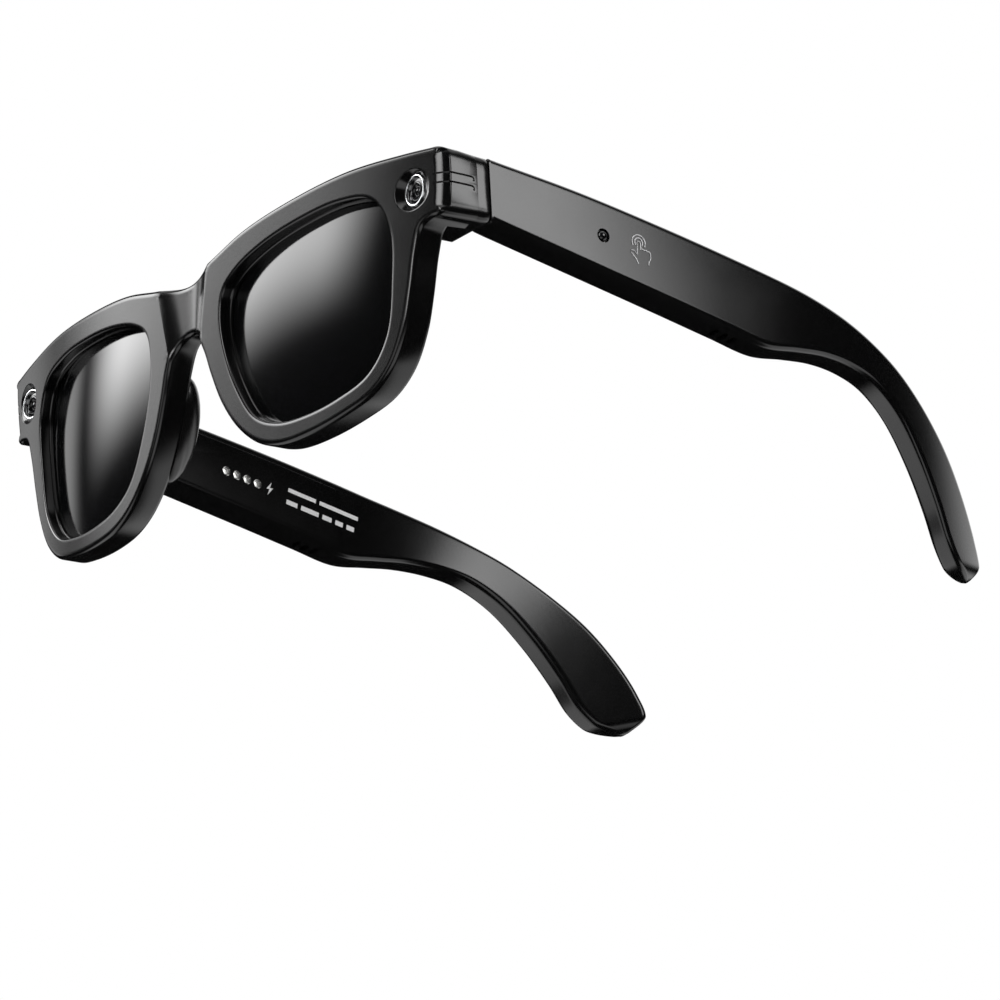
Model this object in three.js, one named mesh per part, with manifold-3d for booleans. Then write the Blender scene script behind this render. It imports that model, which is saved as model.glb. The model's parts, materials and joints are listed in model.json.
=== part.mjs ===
// Camera glasses: a thick plastic front with two tinted lenses and two camera openings,
// and two folding temples that hold the batteries, boards, speakers and controls.
//
// Units are millimetres. Every piece is drawn in the front's own frame: X across the face
// (+X is the wearer's left), Y backwards along the temples, Z up in the plane of the front,
// zero at the lowest point of the rims. The finished glasses are then leaned forward so that
// the rims and the temple tips stand on one level surface.
import * as THREE from "three";
import { mergeVertices } from "three/addons/utils/BufferGeometryUtils.js";
import Module from "manifold-3d";

const wasm = await Module();
wasm.setup();

// ---------------------------------------------------------------- driving dimensions
const HALF_WIDTH = 74; // middle of the bridge to the outside of an end piece
const TEMPLE_REACH = 144.2; // front face at the bridge to the furthest point of a tip
const WRAP = 9; // how far the front curves back at its ends
const FRONT_DEPTH = 6; // thickness of the front, face to back
const WRAP_STRIPS = 16; // flat facets across the curved front

const SEAM_Y = 19.5; // back face of the end pieces, where the temples begin
const SEAM_GAP = 0.35; // open line between an end piece and its temple
const END_TOP = 45.3; // end piece and temple edges at the seam
const END_BOTTOM = 32.6;
const END_WIDTH = 13.2; // of an end piece, across
const SIDE_X = HALF_WIDTH - 0.4; // outer face of the temples
const END_INNER_X = SIDE_X - END_WIDTH; // inner face of an end piece

const LENS_THICKNESS = 2;
const LENS_SETBACK = 2.8; // front face of the rim to the lens groove
const GROOVE_DEPTH = 0.9; // how far the groove is cut into the rim
const LENS_FIT = 0.25; // clearance of a lens in its groove

const BRIDGE_RECESS = 1.5; // the bridge's front lies this far behind the rims
const BRIDGE_TOP_HALF = (8.4 * HALF_WIDTH) / 74; // creases beside the bridge, at the top edge
const BRIDGE_LOW_HALF = (5.7 * HALF_WIDTH) / 74; // and at the nose arch

const CAMERA_X = SIDE_X - 7.4;
const CAMERA_Z = 39.1;
const MOUTH_R = 4.05; // wide end of the conical recess around a camera
const MOUTH_DEPTH = 0.9;
const RING_R = 3.05; // polished ring
const RING_WALL = 0.45;
const RING_PROUD = 0.3; // above the floor of the recess
const RING_LENGTH = 1.8;
const WINDOW_SETBACK = 0.6; // front of the ring to the front of the window
const WINDOW_THICKNESS = 0.8;
const BARREL_R = RING_R - 2 * RING_WALL - 0.25; // lens barrel of the camera module
const BARREL_LENGTH = 1.2;
const MODULE_SIZE = 5.6; // square across
const MODULE_DEPTH = 3.4;

const FIT = 0.3; // clearance between pieces that seat in each other
const CABLE_HEIGHT = 2;
const CABLE_THICKNESS = 0.3;
const COVER_HEIGHT = 3.2;
const COVER_THICKNESS = 0.9;

// How much wider and longer the glasses are than the outlines below were drawn for.
const DRAWN_HALF_WIDTH = 74;
const DRAWN_REACH = 144.2;
const widthScale = HALF_WIDTH / DRAWN_HALF_WIDTH;
const lengthScale = (TEMPLE_REACH - SEAM_Y) / (DRAWN_REACH - SEAM_Y);
const alongTemple = (y) => SEAM_Y + SEAM_GAP + (y - SEAM_Y - SEAM_GAP) * lengthScale;

const TEMPLE_THICKNESS = 7;
const TIP_THICKNESS = 5.2;
const WALL = 1.3; // casing wall, and the rounding of its long edges
const BEND_START = alongTemple(84); // behind this the temple curves inwards
const TIP_INSET = 17; // how far the tip lies inwards of the straight part
const END_WALL = 1.35; // front wall of a temple
const BAY_BACK = alongTemple(81); // rear end of the electronics bay
const LEDGE = 0.6; // the inner cover rests on this much of the wall
const INNER_COVER = 1.2; // thickness of the inner cover

// Pocket for camera and hinge in an end piece, open at the seam.
const POCKET_X = [END_INNER_X + 1.3, SIDE_X - 2.2];
const POCKET_Z = [END_BOTTOM + 1.9, END_TOP - 1.9];

const PIVOT_X = SIDE_X - TEMPLE_THICKNESS - 1.2;
const PIVOT_Y = SEAM_Y + 0.15;
const KNUCKLE_R = 1.6;
const PIN_R = 0.7;
const PIN_HEAD_R = 1.15;
const PIN_HEAD_HEIGHT = 0.6;
const PIN_FIT = 0.05; // running clearance of the pin in the turning knuckle
const KNUCKLE_CLEARANCE = 0.35; // around the knuckles, in the plastic
const HINGE_BOTTOM = POCKET_Z[0] + 0.4;
const KNUCKLE_GAP = 0.15;
const HINGE_TOP = POCKET_Z[1] - PIN_HEAD_HEIGHT - 0.4;
const KNUCKLE_HEIGHT = (HINGE_TOP - HINGE_BOTTOM - 2 * KNUCKLE_GAP) / 3;
const LEAF_THICKNESS = 1.1;

const LEAF_LENGTH = 9; // how far the turning leaf reaches into the temple

const BUTTON_Y = 33; // capture button, middle along the top edge of the right temple
const BUTTON_LENGTH = 8;
const BUTTON_WIDTH = 2;
const BUTTON_PROUD = 0.8;
const BUTTON_FIT = 0.2;
const BUTTON_FOOT = 0.45; // thickness of the foot that keeps the button in
const BUTTON_TRAVEL = 0.4;
const SWITCH_HEIGHT = 1.6;

const DOME_Y = 45; // status dome on the left temple
const DOME_R = 1.05;
const DOME_RECESS = 0.6;
const CONTACT_Y = 53.8; // first charging contact on the right temple
const CONTACT_PITCH = 2.45;
const CONTACT_R = 0.9;
const CONTACTS = 4;
const MAGNET_R = 1.3;
const MAGNET_OFFSET = 2.9; // from the end contacts to the magnets beside them

const BOARD_THICKNESS = 0.8;
const CHIP_HEIGHT = 0.6;
const SPEAKER_LENGTH = 13;
const SLOT_PITCH = 2; // sound slots under each speaker

const PAD_PLACE = [13 * widthScale, 17]; // middle of a nose pad (X, Z)
const PAD_SIZE = [3.6, 4.4, 10.5]; // half sizes
const PAD_TILT = 0.45; // follows the nose edge of the rim, in radians

// ---------------------------------------------------------------- outlines
// Outlines are drawn for the usual width, and stretched across with the glasses.
const stretched = (points) => points.map(([x, z]) => [x * widthScale, z]);

// Half of the front's outline, from the middle of the top edge out to the end piece ...
const TOP_EDGE = stretched([
  [0, 40.1], [10, 41.9], [20, 44.7], [34, 47], [50, 47.9], [64, 46.9], [72.4, 46],
]);
// ... and from under the end piece, round the rim and up to the nose arch.
const LOWER_EDGE = stretched([
  [70.5, 33], [67.9, 31.6], [66.3, 27.5], [64.6, 20], [62.7, 13.5], [59.2, 7.2], [54, 3.1],
  [46, 1], [36, 0], [28, 0.5], [21.5, 2.9], [15.5, 7.8], [11, 14], [8, 20.5], [5.9, 26],
  [3.2, 30.2], [0, 31.2],
]);
const LENS_OPENING = stretched([
  [12.2, 30.5], [13.4, 35.4], [17.5, 38.3], [25, 40.6], [36, 42.1], [48, 42.3], [56, 40.2],
  [60.1, 33.5], [60, 23], [58, 13], [53, 7.2], [45, 4.8], [36, 4.1], [28, 5], [21.5, 8.2],
  [16.3, 15.7], [13, 24.3],
]);
// Middle line of the cable channel inside the brow, and the cable's last stretch to the camera.
const BROW_LINE = stretched([
  [0, 37.4], [9, 39], [16, 40.8], [25, 43], [36, 44.6], [48, 45.1], [56, 44.3],
]);
const CABLE_END = [POCKET_X[0] - 0.5, CAMERA_Z + 1.9];
// The temple's top and bottom edges in side view (Y, Z), in matching stations.
const TEMPLE_EDGES = [
  [[SEAM_Y + SEAM_GAP, END_TOP], [SEAM_Y + SEAM_GAP, END_BOTTOM]],
  [[40, 42.4], [40, 28.1]],
  [[60, 38.6], [60, 23.6]],
  [[74, 35.6], [73, 20.6]],
  [[84, 33.3], [82.5, 18.5]],
  [[95, 30.6], [90, 19]],
  [[104, 27.8], [97, 19.4]],
  [[112, 24.5], [104, 18.8]],
  [[119, 20.8], [110.4, 17]],
  [[127, 14.9], [117, 12.6]],
  [[134, 8.2], [123.4, 5]],
  [[139.5, 0.4], [128.4, -3]],
  [[142.9, -6.4], [131.6, -9.2]],
  [[144.2, -11], [134.6, -12.6]],
  [[143, -13.9], [138.6, -15]],
];
const TEMPLE_STATIONS = TEMPLE_EDGES.map((edges) => edges.map(([y, z]) => [alongTemple(y), z]));
const STATION_STEPS = 30; // cross-sections along a temple

// ---------------------------------------------------------------- materials
const finish = (color, roughness, metalness) =>
  new THREE.MeshStandardMaterial({ color, roughness, metalness });
const frameBlack = finish(0x17181a, 0.28, 0);
const lensTint = finish(0x1c1e21, 0.08, 0);
const windowBlack = finish(0x050506, 0.1, 0);
const rubberBlack = finish(0x121213, 0.45, 0);
const polishedSteel = finish(0xd9dadc, 0.15, 1);
const brushedSteel = finish(0x9a9ca0, 0.35, 1);
const gold = finish(0xd8b56a, 0.3, 1);
const boardGreen = finish(0x12412c, 0.5, 0);
const cableAmber = finish(0xb4661e, 0.5, 0);
const cellSilver = finish(0xb9bcc0, 0.4, 0.6);

// ---------------------------------------------------------------- solids and booleans
function solidOf(geometry) {
  const soup = geometry.index ? geometry.toNonIndexed() : geometry.clone();
  soup.deleteAttribute("normal");
  soup.deleteAttribute("uv");
  const merged = mergeVertices(soup, 1e-3);
  return new wasm.Manifold(
    new wasm.Mesh({
      numProp: 3,
      vertProperties: merged.attributes.position.array,
      triVerts: new Uint32Array(merged.index.array),
    }),
  );
}

function geometryOf(solid) {
  const mesh = solid.getMesh();
  const geometry = new THREE.BufferGeometry();
  geometry.setAttribute("position", new THREE.BufferAttribute(mesh.vertProperties, 3));
  geometry.setIndex(new THREE.BufferAttribute(mesh.triVerts, 1));
  geometry.computeVertexNormals();
  return geometry;
}

const joined = (...geometries) =>
  geometryOf(geometries.map(solidOf).reduce((whole, next) => whole.add(next)));

const cut = (geometry, ...tools) =>
  geometryOf(tools.map(solidOf).reduce((whole, tool) => whole.subtract(tool), solidOf(geometry)));

const common = (a, b) => geometryOf(solidOf(a).intersect(solidOf(b)));

function piece(name, geometry, material) {
  const mesh = new THREE.Mesh(geometry, material);
  mesh.name = name;
  return mesh;
}

// ---------------------------------------------------------------- shape helpers
const wrapAt = (x) => WRAP * (x / HALF_WIDTH) ** 2;

// Points along a smooth curve through the given ones.
function smooth(points, closed, count) {
  const knots = points.map(([a, b]) => new THREE.Vector3(a, b, 0));
  const curve = new THREE.CatmullRomCurve3(knots, closed, "centripetal");
  const along = curve.getSpacedPoints(count);
  if (closed) along.pop();
  return along.map((p) => [p.x, p.y]);
}

const mirrored = (points) => points.map(([a, b]) => [-a, b]).reverse();

function isClockwise(points) {
  return THREE.ShapeUtils.isClockWise(points.map(([a, b]) => new THREE.Vector2(a, b)));
}

// A closed outline moved outwards by a distance, inwards if it is negative.
function offset(points, distance) {
  const turn = isClockwise(points) ? -1 : 1;
  return points.map(([a, b], i) => {
    const before = points[(i + points.length - 1) % points.length];
    const after = points[(i + 1) % points.length];
    const dx = after[0] - before[0];
    const dy = after[1] - before[1];
    const length = Math.hypot(dx, dy);
    return [a + (turn * distance * dy) / length, b - (turn * distance * dx) / length];
  });
}

// A flat outline in the plane of the front (X, Z), as a plate from one depth to another.
function plate(outline, fromY, toY) {
  const shape = new THREE.Shape(outline.map(([x, z]) => new THREE.Vector2(x, z)));
  const geometry = new THREE.ExtrudeGeometry(shape, { depth: toY - fromY, bevelEnabled: false });
  return geometry.rotateX(Math.PI / 2).translate(0, toY, 0);
}

// The same for an outline in side view (Y, Z), as a slab between two X values.
function slab(outline, fromX, toX) {
  const shape = new THREE.Shape(outline.map(([y, z]) => new THREE.Vector2(y, z)));
  const geometry = new THREE.ExtrudeGeometry(shape, { depth: toX - fromX, bevelEnabled: false });
  return geometry.rotateY(Math.PI / 2).rotateX(Math.PI / 2).translate(fromX, 0, 0);
}

// Curves a flat body back to follow the wrap of the front: it is cut into upright strips,
// each strip's points are moved back, and the strips are joined again.
function wrapped(geometry) {
  const whole = solidOf(geometry);
  const width = (2 * HALF_WIDTH + 2) / WRAP_STRIPS;
  const strips = [];
  for (let i = 0; i < WRAP_STRIPS; i++) {
    const from = -HALF_WIDTH - 1 + i * width;
    const strip = whole.intersect(solidOf(box([from, from + width], [-50, 50], [-50, 100])));
    if (strip.isEmpty()) continue;
    const bent = geometryOf(strip);
    const place = bent.attributes.position;
    for (let p = 0; p < place.count; p++) {
      place.setY(p, place.getY(p) + wrapAt(place.getX(p)));
    }
    strips.push(bent);
  }
  return joined(...strips);
}

const box = (x, y, z) =>
  new THREE.BoxGeometry(x[1] - x[0], y[1] - y[0], z[1] - z[0]).translate(
    (x[0] + x[1]) / 2,
    (y[0] + y[1]) / 2,
    (z[0] + z[1]) / 2,
  );

// An upright cylinder over a point of the plan.
const post = (radius, x, y, fromZ, toZ, sides = 16) =>
  new THREE.CylinderGeometry(radius, radius, toZ - fromZ, sides)
    .rotateX(Math.PI / 2)
    .translate(x, y, (fromZ + toZ) / 2);

// A round body about the camera's own axis, from pairs of radius and depth.
const turned = (profile, sides = 22) =>
  new THREE.LatheGeometry(profile.map(([r, y]) => new THREE.Vector2(r, y)), sides);

// A geometry mirrored to the other side of the face.
const flipped = (geometry) => geometryOf(solidOf(geometry).mirror([1, 0, 0]));

const bothSides = (name, geometry, material) => [
  piece(name + "_left", geometry, material),
  piece(name + "_right", flipped(geometry), material),
];

// ---------------------------------------------------------------- front
const lensOutline = smooth(LENS_OPENING, true, 36);

function frontOutline() {
  const top = smooth(TOP_EDGE, false, 16);
  const corner = [
    [HALF_WIDTH - 0.4, 45.2], [HALF_WIDTH, 44], [HALF_WIDTH - 0.7, 34.6], [HALF_WIDTH - 1.7, 33.2],
  ];
  const lower = smooth(LOWER_EDGE, false, 34);
  const half = [...top, ...corner, ...lower];
  return [...half, ...mirrored(half.slice(1, -1))];
}

// Places a body drawn about the Y axis on the camera's axis. Both cameras look straight ahead,
// though the face around them slants back.
function atCamera(geometry) {
  return geometry.translate(CAMERA_X, wrapAt(CAMERA_X), CAMERA_Z);
}

function endPiece() {
  const edge = 1.2;
  const outline = [
    [END_INNER_X, END_BOTTOM + edge], [END_INNER_X + edge, END_BOTTOM], [SIDE_X - edge, END_BOTTOM],
    [SIDE_X, END_BOTTOM + edge], [SIDE_X, END_TOP - edge], [SIDE_X - edge, END_TOP],
    [END_INNER_X + edge, END_TOP], [END_INNER_X, END_TOP - edge],
  ];
  return plate(outline, wrapAt(END_INNER_X) + FRONT_DEPTH - FIT, SEAM_Y);
}

// A strip of the brow, following a middle line and the wrap of the front.
function browStrip(line, height, fromY, toY) {
  const half = smooth(line, false, 8);
  const whole = [...mirrored(half.slice(1)), ...half];
  const lower = whole.map(([x, z]) => [x, z - height / 2]);
  const upper = whole.map(([x, z]) => [x, z + height / 2]);
  return plate([...lower, ...upper.reverse()], fromY, toY);
}

const coverFront = FRONT_DEPTH - COVER_THICKNESS;
const cableBack = coverFront - FIT;
const cableFront = cableBack - CABLE_THICKNESS;
const ringFront = MOUTH_DEPTH - RING_PROUD;
const ringBack = ringFront + RING_LENGTH;
const windowFront = ringFront + WINDOW_SETBACK;
const windowBack = windowFront + WINDOW_THICKNESS;
const windowR = RING_R - RING_WALL - FIT / 3;
const barrelFront = ringBack - FIT / 3;
const moduleFront = barrelFront + BARREL_LENGTH;
const moduleBack = moduleFront + MODULE_DEPTH;

// Recess, ring seat, bore and module pocket, all about the camera's axis.
function cameraCut() {
  const seatR = RING_R + FIT / 2;
  const seatBack = ringBack + FIT / 2;
  const boreR = BARREL_R + FIT;
  const half = MODULE_SIZE / 2 + FIT;
  const bore = turned([
    [0, -MOUTH_DEPTH], [2 * MOUTH_R - seatR, -MOUTH_DEPTH], [seatR, MOUTH_DEPTH],
    [seatR, seatBack], [boreR, seatBack], [boreR, moduleFront], [0, moduleFront],
  ]);
  const room = box([-half, half], [moduleFront - FIT, moduleBack + FIT], [-half, half]);
  return atCamera(joined(bore, room));
}

function frontRim() {
  const opening = plate(lensOutline, -1, FRONT_DEPTH + 1);
  const saddle = plate(
    [
      [-BRIDGE_LOW_HALF + 1.2, 26], [BRIDGE_LOW_HALF - 1.2, 26],
      [BRIDGE_TOP_HALF + 1, 44], [-BRIDGE_TOP_HALF - 1, 44],
    ],
    -1,
    BRIDGE_RECESS,
  );
  const grooveBack = LENS_SETBACK + LENS_THICKNESS + 2 * LENS_FIT;
  const groove = plate(offset(lensOutline, GROOVE_DEPTH), LENS_SETBACK, grooveBack);
  const tunnelDepth = [cableFront - FIT, coverFront];
  const tunnelHalf = CABLE_HEIGHT / 2 + FIT;
  const tunnel = browStrip([...BROW_LINE, CABLE_END], 2 * tunnelHalf, ...tunnelDepth);
  const tunnelEnd = box(
    [CABLE_END[0] - FIT, POCKET_X[0] + FIT],
    tunnelDepth,
    [CABLE_END[1] - tunnelHalf, CABLE_END[1] + tunnelHalf],
  );
  const seat = browStrip(
    [...BROW_LINE.slice(0, -1), [BROW_LINE.at(-1)[0] + FIT, BROW_LINE.at(-1)[1]]],
    COVER_HEIGHT + 2 * FIT,
    coverFront - FIT / 3,
    FRONT_DEPTH + 1,
  );
  const pocket = box(POCKET_X, [moduleBack + wrapAt(CAMERA_X) - 1, SEAM_Y + 1], POCKET_Z);
  const flatCuts = [opening, flipped(opening), groove, flipped(groove), saddle, seat];
  const face = wrapped(cut(plate(frontOutline(), 0, FRONT_DEPTH), ...flatCuts));
  const rim = joined(face, endPiece(), flipped(endPiece()));
  const sideCuts = [cameraCut(), pocket];
  const wholeTunnel = wrapped(joined(tunnel, tunnelEnd, flipped(tunnelEnd)));
  return cut(rim, wholeTunnel, ...sideCuts, ...sideCuts.map(flipped));
}

function lens() {
  const from = LENS_SETBACK + LENS_FIT;
  return wrapped(plate(offset(lensOutline, GROOVE_DEPTH - LENS_FIT), from, from + LENS_THICKNESS));
}

// A smooth bulge behind the rim on the nose side, flat where it is bonded to the rim.
function nosePad() {
  const bulge = new THREE.SphereGeometry(1, 16, 12)
    .scale(...PAD_SIZE)
    .rotateY(-PAD_TILT)
    .translate(PAD_PLACE[0], FRONT_DEPTH + wrapAt(PAD_PLACE[0]), PAD_PLACE[1]);
  const behind = FRONT_DEPTH + wrapAt(PAD_PLACE[0] + 4) + FIT;
  return common(bulge, box([0, 30], [behind, 30], [0, 40]));
}

function cameraRing() {
  const inner = RING_R - RING_WALL;
  const shelf = inner - RING_WALL;
  return atCamera(
    turned([
      [RING_R - 0.15, ringFront], [RING_R, ringFront + 0.15], [RING_R, ringBack],
      [shelf, ringBack], [shelf, windowBack + 0.1], [inner, windowBack + 0.1],
      [inner, ringFront + 0.15], [RING_R - 0.3, ringFront], [RING_R - 0.15, ringFront],
    ]),
  );
}

const cameraWindow = () =>
  atCamera(turned([[0, windowFront], [windowR, windowFront], [windowR, windowBack], [0, windowBack]]));

function cameraModule() {
  const half = MODULE_SIZE / 2;
  const barrel = turned([
    [0, barrelFront + 0.5], [0.7, barrelFront + 0.5], [1.4, barrelFront], [BARREL_R, barrelFront],
    [BARREL_R, moduleFront + 0.5], [0, moduleFront + 0.5],
  ]);
  const body = box([-half, half], [moduleFront, moduleBack], [-half, half]);
  return atCamera(joined(barrel, body));
}

// ---------------------------------------------------------------- hinges
const knuckleZ = (index) => HINGE_BOTTOM + index * (KNUCKLE_HEIGHT + KNUCKLE_GAP);
const knuckle = (index, radius, spread = 0) =>
  post(radius, PIVOT_X, PIVOT_Y, knuckleZ(index) - spread, knuckleZ(index) + KNUCKLE_HEIGHT + spread);
const pinHole = () => post(PIN_R + PIN_FIT, PIVOT_X, PIVOT_Y, HINGE_BOTTOM - 1, END_TOP);

// The fixed leaf closes the pocket of the end piece and carries the outer knuckles.
function frontHinge() {
  const leaf = box(
    [POCKET_X[0] + FIT, POCKET_X[1] - FIT],
    [SEAM_Y - FIT - LEAF_THICKNESS, SEAM_Y - FIT],
    [POCKET_Z[0] + FIT, POCKET_Z[1] - FIT],
  );
  const room = knuckle(1, KNUCKLE_R + KNUCKLE_CLEARANCE, KNUCKLE_GAP);
  const fixed = joined(leaf, knuckle(0, KNUCKLE_R), knuckle(2, KNUCKLE_R));
  const headRoom = post(PIN_HEAD_R + FIT, PIVOT_X, PIVOT_Y, knuckleZ(2) + KNUCKLE_HEIGHT, END_TOP);
  return cut(fixed, room, headRoom, pinHole());
}

const leafX = SIDE_X - TEMPLE_THICKNESS + INNER_COVER + FIT;

// The turning leaf: the middle knuckle, an arm through the temple's front wall, and a plate.
function templeHinge() {
  const [low, high] = [knuckleZ(1), knuckleZ(1) + KNUCKLE_HEIGHT];
  const armY = PIVOT_Y + FIT;
  const across = [leafX, leafX + LEAF_THICKNESS];
  const insideY = SEAM_Y + SEAM_GAP + END_WALL + FIT;
  const arm = box([PIVOT_X, across[1]], [armY, armY + LEAF_THICKNESS], [low, high]);
  const neck = box(across, [armY, insideY + 1], [low, high]);
  const leaf = box(across, [insideY, PIVOT_Y + LEAF_LENGTH], [low - 0.6, high + 0.6]);
  return cut(joined(knuckle(1, KNUCKLE_R), arm, neck, leaf), pinHole());
}

// A screw that serves as the hinge pin, with its slotted head above the top knuckle.
function hingePin() {
  const top = knuckleZ(2) + KNUCKLE_HEIGHT + 0.05;
  const shank = post(PIN_R, PIVOT_X, PIVOT_Y, HINGE_BOTTOM, top + 0.1);
  const head = post(PIN_HEAD_R, PIVOT_X, PIVOT_Y, top, top + PIN_HEAD_HEIGHT);
  const slot = box([PIVOT_X - 2, PIVOT_X + 2], [PIVOT_Y - 0.15, PIVOT_Y + 0.15], [top + 0.3, top + 2]);
  return cut(joined(shank, head), slot);
}

// ---------------------------------------------------------------- temples
const [topLine, lowLine] = [0, 1].map((row) => {
  const knots = TEMPLE_STATIONS.map((station) => new THREE.Vector3(0, ...station[row]));
  return new THREE.CatmullRomCurve3(knots, false, "centripetal");
});

const outerAt = (y) =>
  SIDE_X - TIP_INSET * (Math.max(0, y - BEND_START) / (TEMPLE_REACH - BEND_START)) ** 2;
const thicknessAt = (y) =>
  THREE.MathUtils.mapLinear(
    Math.max(y, BEND_START), BEND_START, TEMPLE_REACH, TEMPLE_THICKNESS, TIP_THICKNESS,
  );

// The whole temple as one solid: a bar with rounded edges, whose sections run from the bottom
// line to the top line and follow the inward curve of the tip.
function templeBar() {
  const bar = new THREE.BoxGeometry(2, 1, 2, 3, STATION_STEPS, 3);
  const place = bar.attributes.position;
  for (let i = 0; i < place.count; i++) {
    const along = place.getY(i) + 0.5;
    const [across, up] = [place.getX(i), place.getZ(i)];
    const top = topLine.getPoint(along);
    const low = lowLine.getPoint(along);
    const height = top.distanceTo(low);
    const middleY = (top.y + low.y) / 2;
    const half = thicknessAt(middleY) / 2;
    const [sideways, upwards] = roundedCorner(across, up, half, height / 2);
    const point = low.clone().lerp(top, 0.5 + upwards / height);
    place.setXYZ(i, outerAt(point.y) - half + sideways, point.y, point.z);
  }
  return bar;
}

// Moves a point of a square section, with grid lines at thirds, onto a section with cut corners.
function roundedCorner(across, up, halfWidth, halfHeight) {
  const edge = (value, half) => Math.sign(value) * (Math.abs(value) > 0.9 ? half : half - WALL);
  const atCorner = Math.abs(across) > 0.9 && Math.abs(up) > 0.9;
  const pull = atCorner ? 0.3 * WALL : 0;
  const a = edge(across, halfWidth);
  const b = edge(up, halfHeight);
  return [a - Math.sign(a) * pull, b - Math.sign(b) * pull];
}

// Outline of the straight part in side view, a margin inside the top and bottom edges.
function bayOutline(margin, frontY, backY) {
  const edge = (row) =>
    TEMPLE_STATIONS.slice(0, 5).map((station) => station[row]);
  const heightAt = (points, y) => {
    const next = Math.max(1, points.findIndex((point) => point[0] >= y));
    const [a, b] = [points[next - 1], points[next]];
    return THREE.MathUtils.mapLinear(y, a[0], b[0], a[1], b[1]);
  };
  const ys = [frontY, alongTemple(40), alongTemple(60), backY];
  const lower = ys.map((y) => [y, heightAt(edge(1), y) + margin]);
  const upper = ys.map((y) => [y, heightAt(edge(0), y) - margin]);
  return [...lower, ...upper.reverse()];
}

const bayFront = SEAM_Y + SEAM_GAP + END_WALL;
const innerX = SIDE_X - TEMPLE_THICKNESS;
const baySkin = SIDE_X - WALL;

function templeShell(extraCuts) {
  const bay = slab(bayOutline(WALL + LEDGE + FIT, bayFront, BAY_BACK), innerX - 1, baySkin);
  const seat = slab(
    bayOutline(WALL, bayFront - FIT, BAY_BACK + LEDGE + FIT),
    innerX - 1,
    innerX + INNER_COVER + FIT / 3,
  );
  const armSlot = box(
    [innerX - 1, leafX + LEAF_THICKNESS + FIT],
    [SEAM_Y, bayFront + FIT],
    [knuckleZ(1) - FIT, knuckleZ(1) + KNUCKLE_HEIGHT + FIT],
  );
  const room = post(KNUCKLE_R + KNUCKLE_CLEARANCE, PIVOT_X, PIVOT_Y, POCKET_Z[0], POCKET_Z[1]);
  return cut(templeBar(), bay, seat, armSlot, room, ...extraCuts);
}

function innerCover(holes = []) {
  const outline = bayOutline(WALL + FIT, bayFront, BAY_BACK + LEDGE);
  const cover = slab(outline, innerX, innerX + INNER_COVER);
  const room = post(KNUCKLE_R + KNUCKLE_CLEARANCE, PIVOT_X, PIVOT_Y, POCKET_Z[0], POCKET_Z[1]);
  return cut(cover, room, ...holes);
}

// Height of the temple's middle line, for pieces that sit half way up.
const middleAt = (y) => {
  const outline = bayOutline(0, y, BAY_BACK);
  return (outline[0][1] + outline.at(-1)[1]) / 2;
};
const middleX = SIDE_X - TEMPLE_THICKNESS / 2;

// A body drawn about the Y axis, turned to point inwards from the temple's outer face.
const fromOutside = (geometry, y) => geometry.rotateZ(Math.PI / 2).translate(SIDE_X, y, middleAt(y));

const speakerY = BAY_BACK - FIT - SPEAKER_LENGTH / 2;
const soundSlots = [-1, 0, 1].map((index) => {
  const y = speakerY + index * SLOT_PITCH;
  const z = middleAt(y);
  return box([middleX - 1.4, middleX + 1.4], [y - 0.5, y + 0.5], [z - 12, z - 4]);
});
const microphoneY = BAY_BACK / 3;
const microphoneHole = post(0.4, middleX, microphoneY, middleAt(microphoneY) - 10,
  middleAt(microphoneY) - 3, 12);

const domeCut = () =>
  fromOutside(
    turned([
      [0, -1], [DOME_R + FIT, -1], [DOME_R + FIT, DOME_RECESS], [DOME_R / 2 + FIT, DOME_RECESS],
      [DOME_R / 2 + FIT, WALL + 1], [0, WALL + 1],
    ], 14),
    DOME_Y,
  );

const statusDome = () =>
  fromOutside(
    turned([
      [0, -0.1], [DOME_R * 0.6, 0.05], [DOME_R, 0.4], [DOME_R, DOME_RECESS - 0.05],
      [DOME_R / 2, DOME_RECESS - 0.05], [DOME_R / 2, WALL + 0.2], [0, WALL + 0.2],
    ], 14),
    DOME_Y,
  );

// ---------------------------------------------------------------- capture button
const buttonTop = bayOutline(0, BUTTON_Y, BAY_BACK).at(-1)[1];
const [edgeStart, edgeNext] = TEMPLE_STATIONS.map((station) => station[0]);
const buttonSlope = Math.atan2(edgeNext[1] - edgeStart[1], edgeNext[0] - edgeStart[0]);
const topWall = WALL + LEDGE + FIT;

// A round-ended bar lying along Y, between two heights about the button's own origin.
function roundEnded(length, width, fromZ, toZ) {
  const shape = new THREE.Shape();
  const straight = (length - width) / 2;
  shape.absarc(0, straight, width / 2, 0, Math.PI);
  shape.absarc(0, -straight, width / 2, Math.PI, 2 * Math.PI);
  const bar = new THREE.ExtrudeGeometry(shape, {
    depth: toZ - fromZ,
    bevelEnabled: false,
    curveSegments: 6,
  });
  return bar.translate(0, 0, fromZ);
}

const atButton = (geometry) =>
  geometry.rotateX(buttonSlope).translate(middleX, BUTTON_Y, buttonTop);

const buttonSlot = () =>
  atButton(roundEnded(BUTTON_LENGTH + 2 * BUTTON_FIT, BUTTON_WIDTH + 2 * BUTTON_FIT, -topWall - 2, 2));

const footTop = -topWall - FIT;
const captureButton = () =>
  atButton(
    joined(
      roundEnded(BUTTON_LENGTH, BUTTON_WIDTH, footTop - 0.1, BUTTON_PROUD),
      roundEnded(BUTTON_LENGTH + 1, BUTTON_WIDTH + 1, footTop - BUTTON_FOOT, footTop),
    ),
  );

const switchTop = footTop - BUTTON_FOOT - BUTTON_TRAVEL - 0.05;
const buttonSwitch = () =>
  atButton(
    joined(
      box([-1.4, 0.3], [-1.5, 1.5], [switchTop - SWITCH_HEIGHT, switchTop - 0.4]),
      box([-1, 0], [-0.6, 0.6], [switchTop - 0.5, switchTop]),
    ),
  );

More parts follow.
